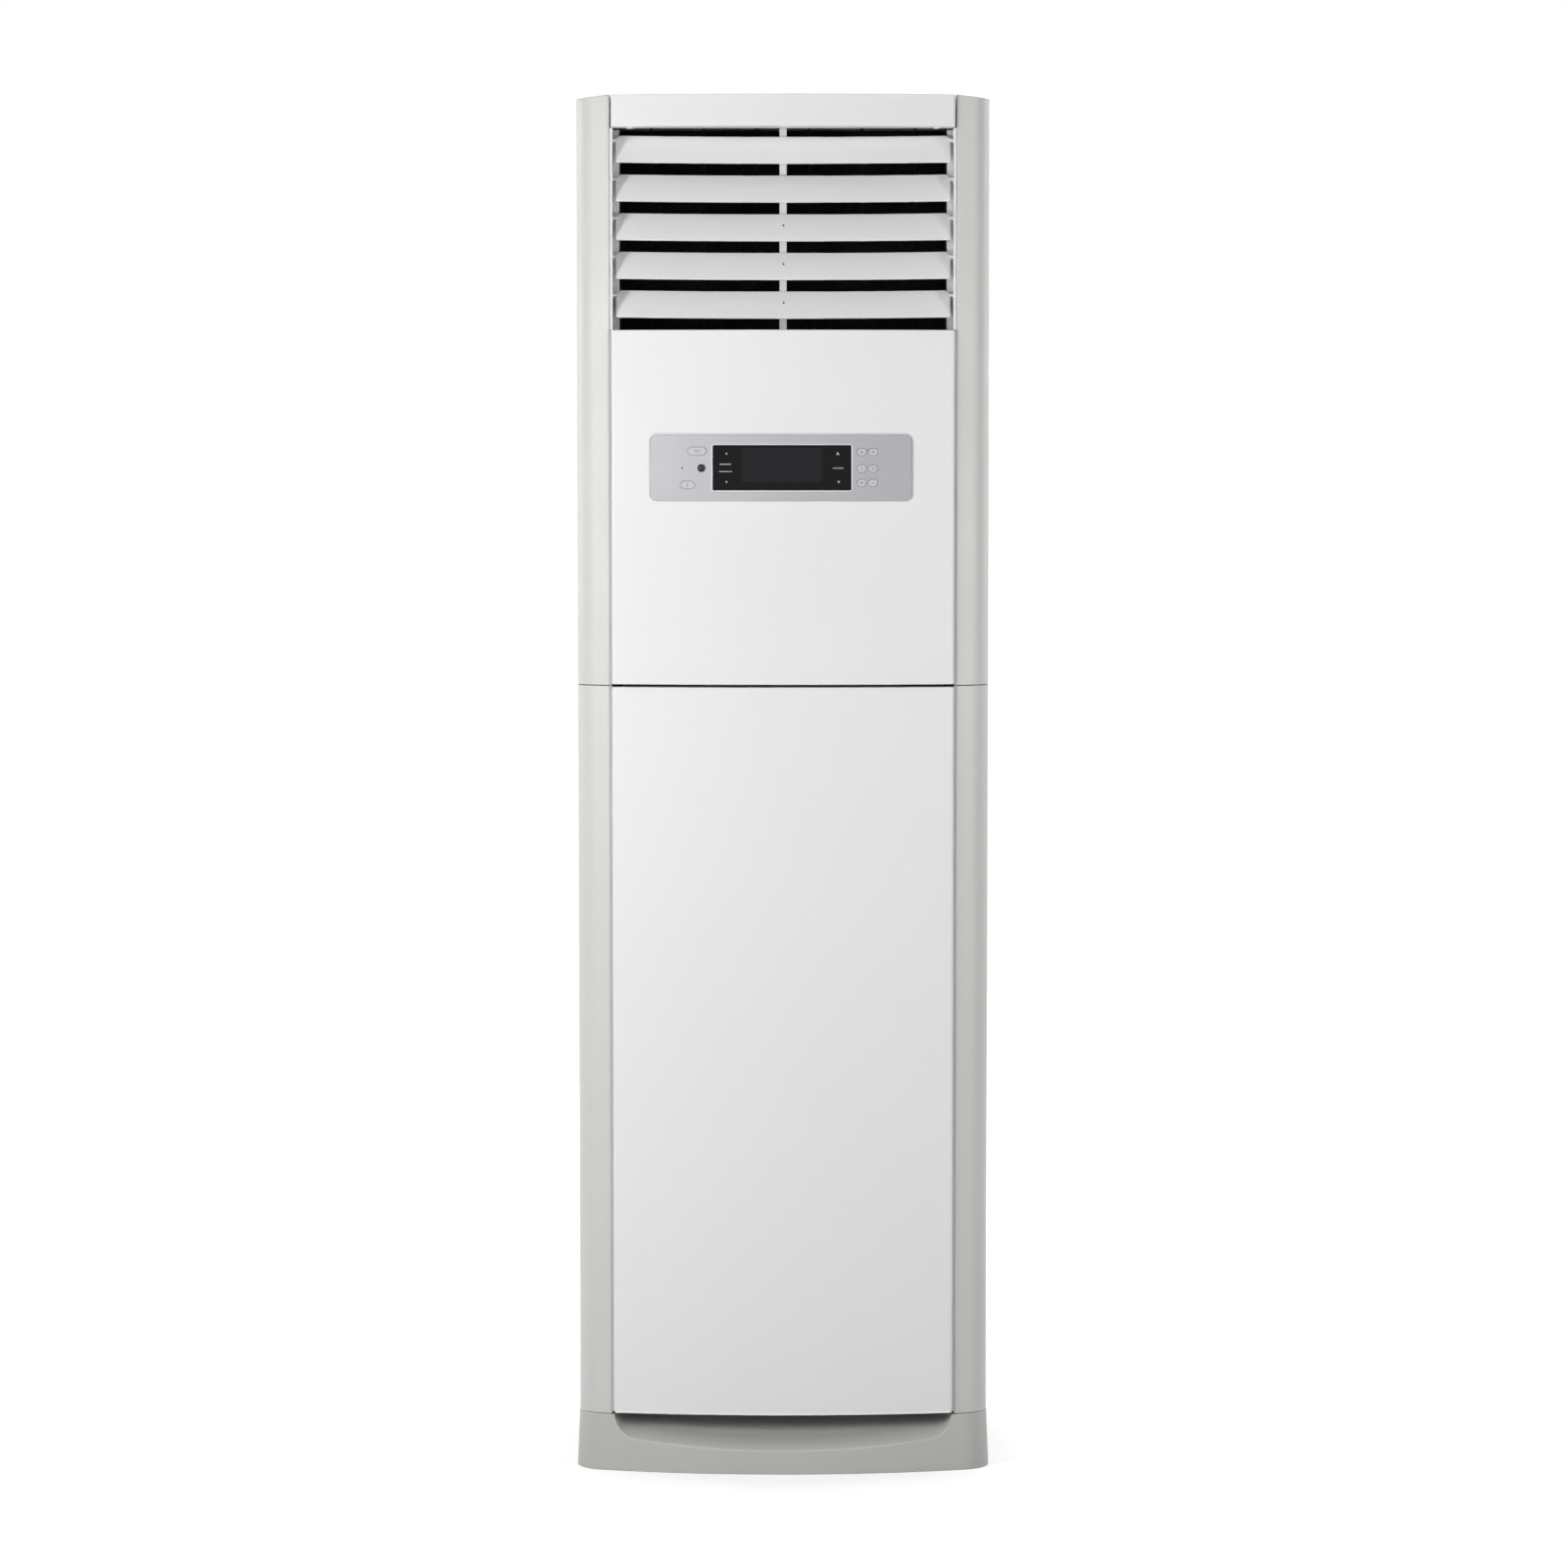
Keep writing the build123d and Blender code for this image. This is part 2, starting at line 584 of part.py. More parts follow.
# ---------------------------------------------------------------- plinth
def plinth_outline(shrink):
    """Plan of the plinth at floor level, drawn in by a margin."""
    half = PILLAR_OUT + PLINTH_PROUD + PLINTH_FLARE - shrink
    apex = -BACK + shrink
    with BuildSketch() as outline:
        with BuildLine():
            side_y = bow_y(half, apex, PLINTH_BOW_RADIUS)
            ThreePointArc((-half, side_y), (0, apex), (half, side_y))
            Polyline((half, side_y), (half, PILLAR_BACK), (-half, PILLAR_BACK), (-half, side_y))
        make_face()
        fillet(outline.vertices().group_by(Axis.Y)[0], PLINTH_CORNER_RADIUS)
    return outline.sketch


def scoop(wall):
    """Cutter of the finger recess, wider and deeper by a wall where the wall is kept."""
    slope = radians(SCOOP_SLOPE)
    half = HALF_PANEL - SCOOP_SIDE + wall
    lip = SCOOP_LIP - wall / cos(slope)
    top = PLINTH_HEIGHT + FRONT_MARGIN
    drop = FRONT_MARGIN * tan(slope)
    with BuildPart() as cutter:
        with BuildSketch(front_plane(-BACK - FRONT_MARGIN)) as mouth:
            with Locations((0, lip - drop)):
                Rectangle(2 * half, top - lip + drop, align=(Align.CENTER, Align.MIN))
            fillet(mouth.vertices().group_by(Axis.Y)[0], SCOOP_CORNER_RADIUS + wall)
        extrude(amount=2 * top, dir=(0, cos(slope), sin(slope)))
    return cutter.part


def plinth_core():
    """Hollow underside of the plinth: it keeps a wall below the recess and inside the skin."""
    with BuildPart() as core:
        with BuildSketch(Plane.XY.offset(-CUT_MARGIN)):
            add(plinth_outline(PLASTIC + PLINTH_FLARE))
        extrude(amount=PLINTH_HEIGHT - PLASTIC + CUT_MARGIN)
        add(scoop(PLASTIC), mode=Mode.SUBTRACT)
        with Locations((0, PILLAR_BACK, 0)):
            Box(
                2 * (PILLAR_OUT - PLASTIC),
                2 * PLASTIC,
                PLINTH_HEIGHT - PLASTIC,
                align=(Align.CENTER, Align.CENTER, Align.MIN),
            )
    return core.part


def base_plinth():
    with BuildPart() as plinth:
        with BuildSketch():
            add(plinth_outline(0))
        with BuildSketch(Plane.XY.offset(PLINTH_HEIGHT)):
            add(plinth_outline(PLINTH_FLARE))
        loft(ruled=True)
        add(scoop(0), mode=Mode.SUBTRACT)
        add(plinth_core(), mode=Mode.SUBTRACT)
    return plinth.part


# ---------------------------------------------------------------- sheet cabinet
def base_pan():
    with BuildPart() as pan:
        with BuildSketch():
            with BuildLine():
                Polyline(
                    (-SIDE_IN, PILLAR_BACK), (-SIDE_IN, REAR_IN), (SIDE_IN, REAR_IN),
                    (SIDE_IN, PILLAR_BACK), (PILLAR_IN, PILLAR_BACK), (PILLAR_IN, PANEL_BACK),
                    (-PILLAR_IN, PANEL_BACK), (-PILLAR_IN, PILLAR_BACK), (-SIDE_IN, PILLAR_BACK),
                )
            make_face()
        extrude(amount=SHEET)
        with Locations((0, REAR_IN, 0)):
            Box(2 * SIDE_IN, SHEET, PAN_FLANGE, align=(Align.CENTER, Align.MAX, Align.MIN))
        with Locations((SIDE_IN, PILLAR_BACK, 0)):
            Box(SHEET, REAR_IN - PILLAR_BACK, PAN_FLANGE, align=(Align.MAX, Align.MIN, Align.MIN))
        with Locations((-SIDE_IN, PILLAR_BACK, 0)):
            Box(SHEET, REAR_IN - PILLAR_BACK, PAN_FLANGE, align=(Align.MIN, Align.MIN, Align.MIN))
        with Locations((0, ANCHOR_CENTRE_Y, SHEET)):
            with GridLocations(ANCHOR_X, ANCHOR_Y, 2, 2):
                Hole(ANCHOR_RADIUS, depth=SHEET)
    return pan.part


def rear_screw_points():
    """X and Z of the screws down both edges of the rear panel."""
    low = PAN_FLANGE + REAR_SCREW_END
    high = COVER_BOTTOM - REAR_SCREW_END
    step = (high - low) / (REAR_SCREW_COUNT - 1)
    at_x = SIDE_IN - REAR_SCREW_INSET
    return [(side * at_x, low + row * step) for side in (-1, 1) for row in range(REAR_SCREW_COUNT)]


def right_side_panel():
    intake_front = INTAKE_Y - INTAKE_WIDTH / 2 - SHEET
    with BuildPart() as panel:
        add(box_between((SIDE_IN, PILLAR_BACK, SHEET), (PILLAR_OUT, BACK, COVER_BOTTOM)))
        add(
            box_between(
                (SIDE_IN - FLANGE, PILLAR_BACK, PLINTH_HEIGHT),
                (SIDE_IN, PILLAR_BACK + SHEET, COVER_BOTTOM),
            )
        )
        add(
            box_between(
                (SIDE_IN - FLANGE, REAR_IN - SHEET, PAN_FLANGE), (SIDE_IN, REAR_IN, COVER_BOTTOM)
            )
        )
        with BuildSketch(side_plane(PILLAR_OUT + CUT_MARGIN)):
            with Locations((INTAKE_Y, INTAKE_BOTTOM + INTAKE_HEIGHT / 2)):
                Rectangle(INTAKE_WIDTH, INTAKE_HEIGHT)
        extrude(amount=-(SHEET + 2 * CUT_MARGIN), mode=Mode.SUBTRACT)
        for side in (-1, 1):
            inner = INTAKE_Y + side * INTAKE_WIDTH / 2
            outer = inner + side * SHEET
            add(
                box_between(
                    (SIDE_IN - JAMB_DEPTH, min(inner, outer), INTAKE_BOTTOM - SHEET),
                    (SIDE_IN, max(inner, outer), INTAKE_TOP + SHEET),
                )
            )
        with BuildSketch(Plane.XZ.offset(-(intake_front - CUT_MARGIN))):
            with Locations((GRILLE_HINGE_X, GRILLE_HINGE_Z)):
                Circle(GRILLE_HINGE_RADIUS + PIN_FIT)
        extrude(amount=-(INTAKE_WIDTH + 2 * SHEET + 2 * CUT_MARGIN), mode=Mode.SUBTRACT)
        with BuildSketch(front_plane(REAR_IN + CUT_MARGIN)):
            with Locations(*[(x, z) for x, z in rear_screw_points() if x > 0]):
                Circle(SCREW_SHANK_RADIUS)
        extrude(amount=SHEET + 2 * CUT_MARGIN, mode=Mode.SUBTRACT)
    return panel.part


def rear_panel():
    with BuildPart() as panel:
        add(box_between((-SIDE_IN, REAR_IN, SHEET), (SIDE_IN, REAR_OUT, COVER_BOTTOM)))
        with BuildSketch(front_plane(REAR_OUT + CUT_MARGIN)):
            with Locations(*rear_screw_points()):
                Circle(SCREW_SHANK_RADIUS + FIT)
            with Locations((EXIT_X, EXIT_Z)):
                Circle(EXIT_RADIUS + GROMMET_WALL)
            with Locations((GLAND_X, GLAND_Z)):
                Circle(GLAND_RADIUS)
            with Locations((0, COVER_BOTTOM - TIE_DROP)):
                with GridLocations(TIE_SPACING, 1, 2, 1):
                    Circle(TIE_HOLE_RADIUS)
        extrude(amount=SHEET + 2 * CUT_MARGIN, mode=Mode.SUBTRACT)
    return panel.part


def case_screws():
    """Pan head screws down both edges of the rear panel."""
    with BuildPart() as screws:
        with BuildSketch(front_plane(BACK)):
            with Locations(*rear_screw_points()):
                Circle(SCREW_HEAD_RADIUS)
        extrude(amount=SCREW_HEAD_HEIGHT)
        with BuildSketch(front_plane(REAR_OUT)):
            with Locations(*rear_screw_points()):
                Circle(SCREW_SHANK_RADIUS - PIN_FIT)
        extrude(amount=SCREW_LENGTH)
    return screws.part


def top_cover():
    low = (-PILLAR_OUT, PILLAR_BACK, COVER_BOTTOM)
    high = (PILLAR_OUT, BACK, ROOF_TOP)
    with BuildPart() as cover:
        add(box_between(low, high))
        fillet(cover.edges().filter_by(Axis.Z).group_by(Axis.Y)[-1], PANEL_EDGE_RADIUS)
        offset(amount=-PLASTIC, openings=cover.faces().sort_by(Axis.Z)[0])
    return cover.part


# ---------------------------------------------------------------- side intakes
def right_intake_grille():
    height = GRILLE_TOP - GRILLE_BOTTOM
    mid_z = (GRILLE_TOP + GRILLE_BOTTOM) / 2
    opening = height - 2 * GRILLE_FRAME
    slat_pitch = opening / (GRILLE_SLAT_COUNT + 1)
    slat_depth = (GRILLE_DEPTH - 2 * CUT_MARGIN) / cos(radians(GRILLE_SLAT_TILT)) - GRILLE_SLAT
    with BuildPart() as grille:
        with BuildSketch(side_plane(GRILLE_IN)):
            with Locations((INTAKE_Y, mid_z)):
                Rectangle(2 * GRILLE_HALF, height)
                Rectangle(2 * (GRILLE_HALF - GRILLE_FRAME), opening, mode=Mode.SUBTRACT)
                Rectangle(GRILLE_RIB, height)
        extrude(amount=GRILLE_DEPTH)
        centre_x = GRILLE_IN + GRILLE_DEPTH / 2
        with BuildSketch(Plane.XZ.offset(-(INTAKE_Y - GRILLE_HALF + CUT_MARGIN))):
            with Locations((centre_x, mid_z)):
                with GridLocations(1, slat_pitch, 1, GRILLE_SLAT_COUNT):
                    Rectangle(slat_depth, GRILLE_SLAT, rotation=GRILLE_SLAT_TILT)
        extrude(amount=-2 * (GRILLE_HALF - CUT_MARGIN))
        with BuildSketch(Plane.XZ.offset(-(INTAKE_Y - INTAKE_WIDTH / 2 - SHEET))):
            with Locations((GRILLE_HINGE_X, GRILLE_HINGE_Z)):
                Circle(GRILLE_HINGE_RADIUS)
        extrude(amount=-(INTAKE_WIDTH + 2 * SHEET))
    return grille.part


def right_filter():
    low_z = GRILLE_BOTTOM + FILTER_INSET
    high_z = GRILLE_TOP - FILTER_INSET
    half = GRILLE_HALF - FILTER_INSET
    with BuildPart() as screen:
        add(
            box_between(
                (GRILLE_IN - FILTER_THICK, INTAKE_Y - half, low_z), (GRILLE_IN, INTAKE_Y + half, high_z)
            )
        )
        with BuildSketch(side_plane(GRILLE_IN - FILTER_THICK)):
            with Locations((INTAKE_Y, (low_z + high_z) / 2)):
                with GridLocations(1, (high_z - low_z - FILTER_BORDER) / 3, 1, 3):
                    Rectangle(
                        2 * (half - FILTER_BORDER),
                        (high_z - low_z - FILTER_BORDER) / 3 - FILTER_BORDER,
                    )
        extrude(amount=FILTER_THICK - FILTER_MESH, mode=Mode.SUBTRACT)
    return screen.part


# ---------------------------------------------------------------- outlet frame and louvres
def louvre_z(index):
    return LOUVRE_FIRST_Z - index * LOUVRE_PITCH


def link_pin(index):
    """Y and Z of a louvre's link pin."""
    tilt = radians(LOUVRE_TILT)
    return (LOUVRE_PIVOT_Y + LINK_ARM * cos(tilt), louvre_z(index) - LINK_ARM * sin(tilt))


def vane_x(index):
    return (index - (VANE_COUNT - 1) / 2) * VANE_PITCH


def outlet_frame():
    roof = DUCT_ROOF + DUCT_WALL
    floor = DUCT_FLOOR - DUCT_WALL
    with BuildPart() as frame:
        add(
            box_between(
                (-CHEEK_OUT, BAY_FRONT, UPPER_TOP + FIT), (CHEEK_OUT, STEP_Y, STRIP_BOTTOM - FIT)
            )
        )
        add(box_between((-CHEEK_OUT, LOUVRE_PIVOT_Y, floor), (CHEEK_OUT, STEP_Y + DUCT_WALL, roof)))
        add(
            box_between(
                (-DUCT_HALF - DUCT_WALL, STEP_Y, floor), (DUCT_HALF + DUCT_WALL, DUCT_BACK, roof)
            )
        )
        add(
            box_between(
                (-CHEEK_IN, BAY_FRONT - CUT_MARGIN, DUCT_FLOOR), (CHEEK_IN, STEP_Y, DUCT_ROOF)
            ),
            mode=Mode.SUBTRACT,
        )
        add(
            box_between(
                (-DUCT_HALF, STEP_Y - CUT_MARGIN, DUCT_FLOOR),
                (DUCT_HALF, DUCT_BACK + CUT_MARGIN, DUCT_ROOF),
            ),
            mode=Mode.SUBTRACT,
        )
        add(
            box_between(
                (-CHEEK_IN, LOUVRE_PIVOT_Y, STRIP_BOTTOM + PLASTIC),
                (CHEEK_IN, LOUVRE_PIVOT_Y + LIP_DEPTH, DUCT_ROOF),
            )
        )
        add(
            box_between(
                (-CHEEK_IN, LOUVRE_PIVOT_Y, DUCT_FLOOR),
                (CHEEK_IN, LOUVRE_PIVOT_Y + LIP_DEPTH, UPPER_TOP - PLASTIC),
            )
        )
        with BuildSketch(side_plane(-CHEEK_OUT - CUT_MARGIN)):
            with Locations(*[(LOUVRE_PIVOT_Y, louvre_z(i)) for i in range(LOUVRE_COUNT)]):
                Circle(LOUVRE_PIN_RADIUS + PIN_FIT)
        extrude(amount=2 * (CHEEK_OUT + CUT_MARGIN), mode=Mode.SUBTRACT)
        with BuildSketch(Plane.XY.offset(floor - CUT_MARGIN)):
            with Locations(*[(vane_x(i), VANE_Y) for i in range(VANE_COUNT)]):
                Circle(VANE_PIN_RADIUS + PIN_FIT)
        extrude(amount=roof - floor + 2 * CUT_MARGIN, mode=Mode.SUBTRACT)
    return frame.part


def louvre(index):
    tilt = radians(LOUVRE_TILT)
    pivot = (0, LOUVRE_PIVOT_Y, louvre_z(index))
    normal = (0, -cos(tilt), sin(tilt))
    chord = (0, sin(tilt), cos(tilt))
    face = Plane(origin=pivot, x_dir=(1, 0, 0), z_dir=normal)
    section = Plane(origin=pivot, x_dir=chord, z_dir=(1, 0, 0))
    half_thick = LOUVRE_THICK / 2
    bow_radius = LOUVRE_HALF**2 / (2 * LOUVRE_BOW)
    bow_centre = Vector(*pivot) + Vector(*chord) * bow_radius
    lug_x = LINK_WIDTH / 2 + LUG_GAP
    with BuildPart() as blade:
        # right half: the rounded section carried along the gentle bow of the front edge
        with BuildSketch(section) as profile:
            with BuildLine():
                Polyline(
                    (-LOUVRE_NOSE, half_thick),
                    (-LOUVRE_NOSE, -half_thick),
                    (LOUVRE_TAIL, -half_thick),
                    (LOUVRE_TAIL, half_thick),
                )
                ThreePointArc(
                    (LOUVRE_TAIL, half_thick),
                    ((LOUVRE_TAIL - LOUVRE_NOSE) / 2, half_thick + LOUVRE_CROWN),
                    (-LOUVRE_NOSE, half_thick),
                )
            make_face()
            fillet(profile.vertices(), LOUVRE_EDGE_RADIUS)
        sweep_angle = degrees((LOUVRE_HALF + LOUVRE_THICK) / bow_radius)
        revolve(axis=Axis(bow_centre, normal), revolution_arc=sweep_angle)
        with BuildSketch(face.offset(-LOUVRE_NOSE)) as plan:
            with BuildLine():
                Polyline(
                    (-CUT_MARGIN, -LOUVRE_NOSE - CUT_MARGIN),
                    (LOUVRE_HALF, LOUVRE_BOW - LOUVRE_NOSE - FIT),
                    (LOUVRE_HALF, LOUVRE_TAIL + LOUVRE_BOW + FIT),
                    (-CUT_MARGIN, LOUVRE_TAIL + LOUVRE_BOW + FIT),
                    (-CUT_MARGIN, -LOUVRE_NOSE - CUT_MARGIN),
                )
            make_face()
            ends = plan.vertices().group_by(Axis.X)[-1].sort_by(Axis.Y)
            fillet(ends[-1], LOUVRE_TAIL_CORNER)
            fillet(plan.vertices().sort_by(Axis.Y)[1], LOUVRE_NOSE_CORNER)
        extrude(amount=2 * LOUVRE_NOSE, mode=Mode.INTERSECT)
        with BuildSketch(section.offset(LOUVRE_HALF - LOUVRE_PIN_ROOT)):
            Circle(LOUVRE_PIN_RADIUS)
        extrude(amount=LOUVRE_PIN_ROOT + LOUVRE_END_GAP + CHEEK_THICK - FIT)
        with BuildSketch(section.offset(lug_x)):
            with Locations((0, -LINK_ARM / 2)):
                Rectangle(2 * LUG_RADIUS, LINK_ARM)
            with Locations((0, -LINK_ARM)):
                Circle(LUG_RADIUS)
        extrude(amount=LUG_THICK)
        with BuildSketch(section):
            with Locations((0, -LINK_ARM)):
                Circle(LINK_PIN_RADIUS)
        extrude(amount=lug_x + LUG_THICK)
        mirror(about=Plane.YZ)
        if index >= MARK_FIRST:
            with BuildSketch(face):
                with Locations((0, -MARK_SETBACK)):
                    Circle(MARK_RADIUS)
            extrude(amount=2 * LOUVRE_THICK, both=True, mode=Mode.SUBTRACT)
    return blade.part


def louvre_link():
    bar_y, top_pin = link_pin(0)
    bottom_pin = link_pin(LOUVRE_COUNT - 1)[1]
    with BuildPart() as link:
        with BuildSketch(side_plane(-LINK_WIDTH / 2)):
            top = top_pin + LINK_OVERRUN_TOP
            bottom = bottom_pin - LINK_OVERRUN_BOTTOM
            with Locations((bar_y, (top + bottom) / 2)):
                Rectangle(LINK_THICK, top - bottom)
            with Locations(*[link_pin(i) for i in range(LOUVRE_COUNT)]):
                Circle(LINK_BOSS_RADIUS)
            with Locations(*[link_pin(i) for i in range(LOUVRE_COUNT)]):
                Circle(LINK_PIN_RADIUS + PIN_FIT, mode=Mode.SUBTRACT)
        extrude(amount=LINK_WIDTH)
    return link.part


# ---------------------------------------------------------------- vanes
def vane(index):
    x = vane_x(index)
    bottom = DUCT_FLOOR + VANE_END_GAP
    top = DUCT_ROOF - VANE_END_GAP
    pin_y = VANE_Y + VANE_ARM
    pin_reach = VANE_END_GAP + DUCT_WALL - FIT
    driven = index == VANE_COUNT - 1
    low_reach = pin_reach + SWING_SHAFT if driven else pin_reach
    with BuildPart() as blade:
        with BuildSketch(Plane.XY.offset(bottom)):
            with Locations((x, VANE_Y + (VANE_CHORD_REAR - VANE_CHORD_FRONT) / 2)):
                RectangleRounded(VANE_THICK, VANE_CHORD_FRONT + VANE_CHORD_REAR, VANE_EDGE_RADIUS)
        extrude(amount=top - bottom)
        with Locations((x, pin_y - VANE_NOTCH_DEPTH, VANE_MID_Z)):
            Box(
                4 * VANE_THICK,
                VANE_CHORD_REAR,
                VANE_NOTCH,
                align=(Align.CENTER, Align.MIN, Align.CENTER),
                mode=Mode.SUBTRACT,
            )
        with BuildSketch(Plane.XY.offset(VANE_MID_Z - VANE_NOTCH / 2 - VANE_THICK)):
            with Locations((x, pin_y)):
                Circle(VANE_LINK_PIN_RADIUS)
        extrude(amount=VANE_NOTCH + 2 * VANE_THICK)
        with BuildSketch(Plane.XY.offset(top - VANE_PIN_ROOT)):
            with Locations((x, VANE_Y)):
                Circle(VANE_PIN_RADIUS)
        extrude(amount=VANE_PIN_ROOT + pin_reach)
        with BuildSketch(Plane.XY.offset(bottom + VANE_PIN_ROOT)):
            with Locations((x, VANE_Y)):
                Circle(VANE_PIN_RADIUS)
        extrude(amount=-(VANE_PIN_ROOT + low_reach))
    return blade.part


def vane_link():
    half = vane_x(VANE_COUNT - 1) + VANE_LINK_OVERRUN
    with BuildPart() as link:
        with BuildSketch(Plane.XY.offset(VANE_MID_Z - VANE_LINK_THICK / 2)):
            with Locations((0, VANE_Y + VANE_ARM)):
                RectangleRounded(2 * half, VANE_LINK_DEPTH, VANE_LINK_CORNER)
            with Locations(*[(vane_x(i), VANE_Y + VANE_ARM) for i in range(VANE_COUNT)]):
                Circle(VANE_LINK_PIN_RADIUS + PIN_FIT, mode=Mode.SUBTRACT)
        extrude(amount=VANE_LINK_THICK)
    return link.part


def swing_motor():
    """Small geared motor hung under the duct floor, on the axis of the last vane."""
    at = (vane_x(VANE_COUNT - 1), VANE_Y)
    top = DUCT_FLOOR - DUCT_WALL
    with BuildPart() as motor:
        with BuildSketch(Plane.XY.offset(top - SWING_MOTOR_HEIGHT)):
            with Locations(at):
                Circle(SWING_MOTOR_RADIUS)
        extrude(amount=SWING_MOTOR_HEIGHT)
        with BuildSketch(Plane.XY.offset(top - SWING_EAR_THICK)):
            with Locations(at):
                SlotCenterToCenter(2 * SWING_EAR_OFFSET, SWING_EAR_WIDTH)
                with GridLocations(2 * SWING_EAR_OFFSET, 1, 2, 1):
                    Circle(SWING_EAR_HOLE, mode=Mode.SUBTRACT)
        extrude(amount=SWING_EAR_THICK)
        with BuildSketch(Plane.XY.offset(top)):
            with Locations(at):
                Circle(VANE_PIN_RADIUS + PIN_FIT)
        extrude(amount=-(SWING_SHAFT + FIT), mode=Mode.SUBTRACT)
    return motor.part


# ---------------------------------------------------------------- display and keys
def on_bezel(x, z):
    """Place on the front plane of a point given from the middle of the bezel."""
    return (DISPLAY_X + x, BEZEL_Z + z)


def bowed_prism(outline, inner, outer):
    """The outline carried straight back through the bowed layer between two levels."""
    with BuildPart() as prism:
        with BuildSketch(front_plane(PANEL_APEX - FRONT_MARGIN)):
            add(outline)
        extrude(amount=-(PANEL_DEPTH + FRONT_MARGIN))
        add(bow_slab(inner, outer, UPPER_BOTTOM, UPPER_TOP), mode=Mode.INTERSECT)
    return prism.part


def key_outline(key, margin):
    x, z, width, height = key
    with BuildSketch() as outline:
        with Locations(on_bezel(x, z)):
            SlotOverall(width + 2 * margin, height + 2 * margin)
    return outline.sketch


def window_outline(margin):
    with BuildSketch() as outline:
        with Locations(on_bezel(WINDOW_X, 0)):
            RectangleRounded(
                WINDOW_WIDTH + 2 * margin, WINDOW_HEIGHT + 2 * margin, WINDOW_RADIUS
            )
    return outline.sketch


def bezel_outline(margin):
    with BuildSketch() as outline:
        with Locations(on_bezel(0, 0)):
            RectangleRounded(
                BEZEL_WIDTH + 2 * margin, BEZEL_HEIGHT + 2 * margin, BEZEL_RADIUS + margin
            )
    return outline.sketch


def bezel_posts():
    """Middle of the four posts that carry the switch board."""
    x = PORT_WIDTH / 2 - POST_INSET
    z = PORT_HEIGHT / 2 - POST_INSET
    return [on_bezel(sx * x, sz * z) for sx in (-1, 1) for sz in (-1, 1)]


def display_bezel():
    with BuildPart() as bezel:
        add(bowed_prism(bezel_outline(0), 0, BEZEL_PROUD - BEZEL_RIM))
        add(bowed_prism(bezel_outline(-BEZEL_RIM), 0, BEZEL_PROUD))
        for x, z in bezel_posts():
            with BuildSketch(front_plane(BOARD_FRONT)):
                with Locations((x, z)):
                    Circle(POST_RADIUS)
            extrude(amount=BOARD_FRONT - bow_y(abs(x) + POST_RADIUS) + BEZEL_PROUD / 2)
        with BuildSketch(front_plane(PANEL_APEX - FRONT_MARGIN)):
            add(window_outline(FIT / 2))
            for key in KEYS:
                add(key_outline(key, FIT))
            with Locations(on_bezel(*RECEIVER_AT)):
                Circle(RECEIVER_RADIUS)
            with Locations(on_bezel(*LAMP_AT)):
                Circle(LAMP_RADIUS)
        extrude(amount=-2 * FRONT_MARGIN, mode=Mode.SUBTRACT)
    return bezel.part


def display_window():
    top = BEZEL_PROUD - WINDOW_RECESS
    return bowed_prism(window_outline(0), top - WINDOW_THICK, top)


def key_button(key):
    """Pill shaped cap with a flange behind the bezel and a stem to its switch."""
    x, z, _, _ = key
    at = on_bezel(x, z)
    switch_top = BOARD_FRONT - SWITCH_HEIGHT
    flange_top = -FIT
    with BuildPart() as button:
        add(bowed_prism(key_outline(key, 0), flange_top, BEZEL_PROUD + KEY_PROUD))
        add(bowed_prism(key_outline(key, KEY_FLANGE), flange_top - KEY_FLANGE_THICK, flange_top))
        stem_end = switch_top - KEY_TRAVEL - KEY_GAP
        with BuildSketch(front_plane(stem_end)):
            with Locations(at):
                Circle(KEY_STEM_RADIUS)
        extrude(amount=stem_end - bow_y(at[0]) - FIT - KEY_FLANGE_THICK / 2)
    return button.part


def display_board():
    with BuildPart() as board:
        with BuildSketch(front_plane(BOARD_FRONT)):
            with Locations(on_bezel(0, 0)):
                Rectangle(PORT_WIDTH - 2 * BOARD_MARGIN, PORT_HEIGHT - 2 * BOARD_MARGIN)
        extrude(amount=-BOARD_THICK)
        with BuildSketch(front_plane(BOARD_FRONT)):
            with Locations(*[on_bezel(x, z) for x, z, _, _ in KEYS]):
                Rectangle(SWITCH_SIZE, SWITCH_SIZE)
        extrude(amount=SWITCH_HEIGHT)
        receiver = on_bezel(*RECEIVER_AT)
        lamp = on_bezel(*LAMP_AT)
        with BuildSketch(front_plane(BOARD_FRONT)):
            with Locations(receiver):
                Circle(RECEIVER_RADIUS - FIT)
        extrude(amount=BOARD_FRONT - bow_y(receiver[0]) - FIT)
        with BuildSketch(front_plane(BOARD_FRONT)):
            with Locations(lamp):
                Circle(LAMP_RADIUS - FIT)
        extrude(amount=BOARD_FRONT - bow_y(lamp[0]) - FIT)
    return board.part


# ---------------------------------------------------------------- fan
def scroll_outline():
    """Scroll of three quarter turns of growing radius, then a straight outlet to the deck."""
    r1 = WHEEL_RADIUS + TONGUE_GAP
    r2 = r1 + SCROLL_STEP
    r3 = r2 + SCROLL_STEP
    x1 = -SCROLL_STEP / 2
    x2 = SCROLL_STEP / 2
    z1 = WHEEL_Z - SCROLL_STEP / 2
    z3 = WHEEL_Z + SCROLL_STEP / 2
    with BuildSketch() as outline:
        with BuildLine():
            CenterArc((x1, z1), r1, 90, 90)
            CenterArc((x2, z1), r2, 180, 90)
            CenterArc((x2, z3), r3, 270, 90)
            Polyline((x2 + r3, z3), (x2 + r3, DECK_Z), (x1, DECK_Z), (x1, z1 + r1))
        make_face()
    return outline.sketch


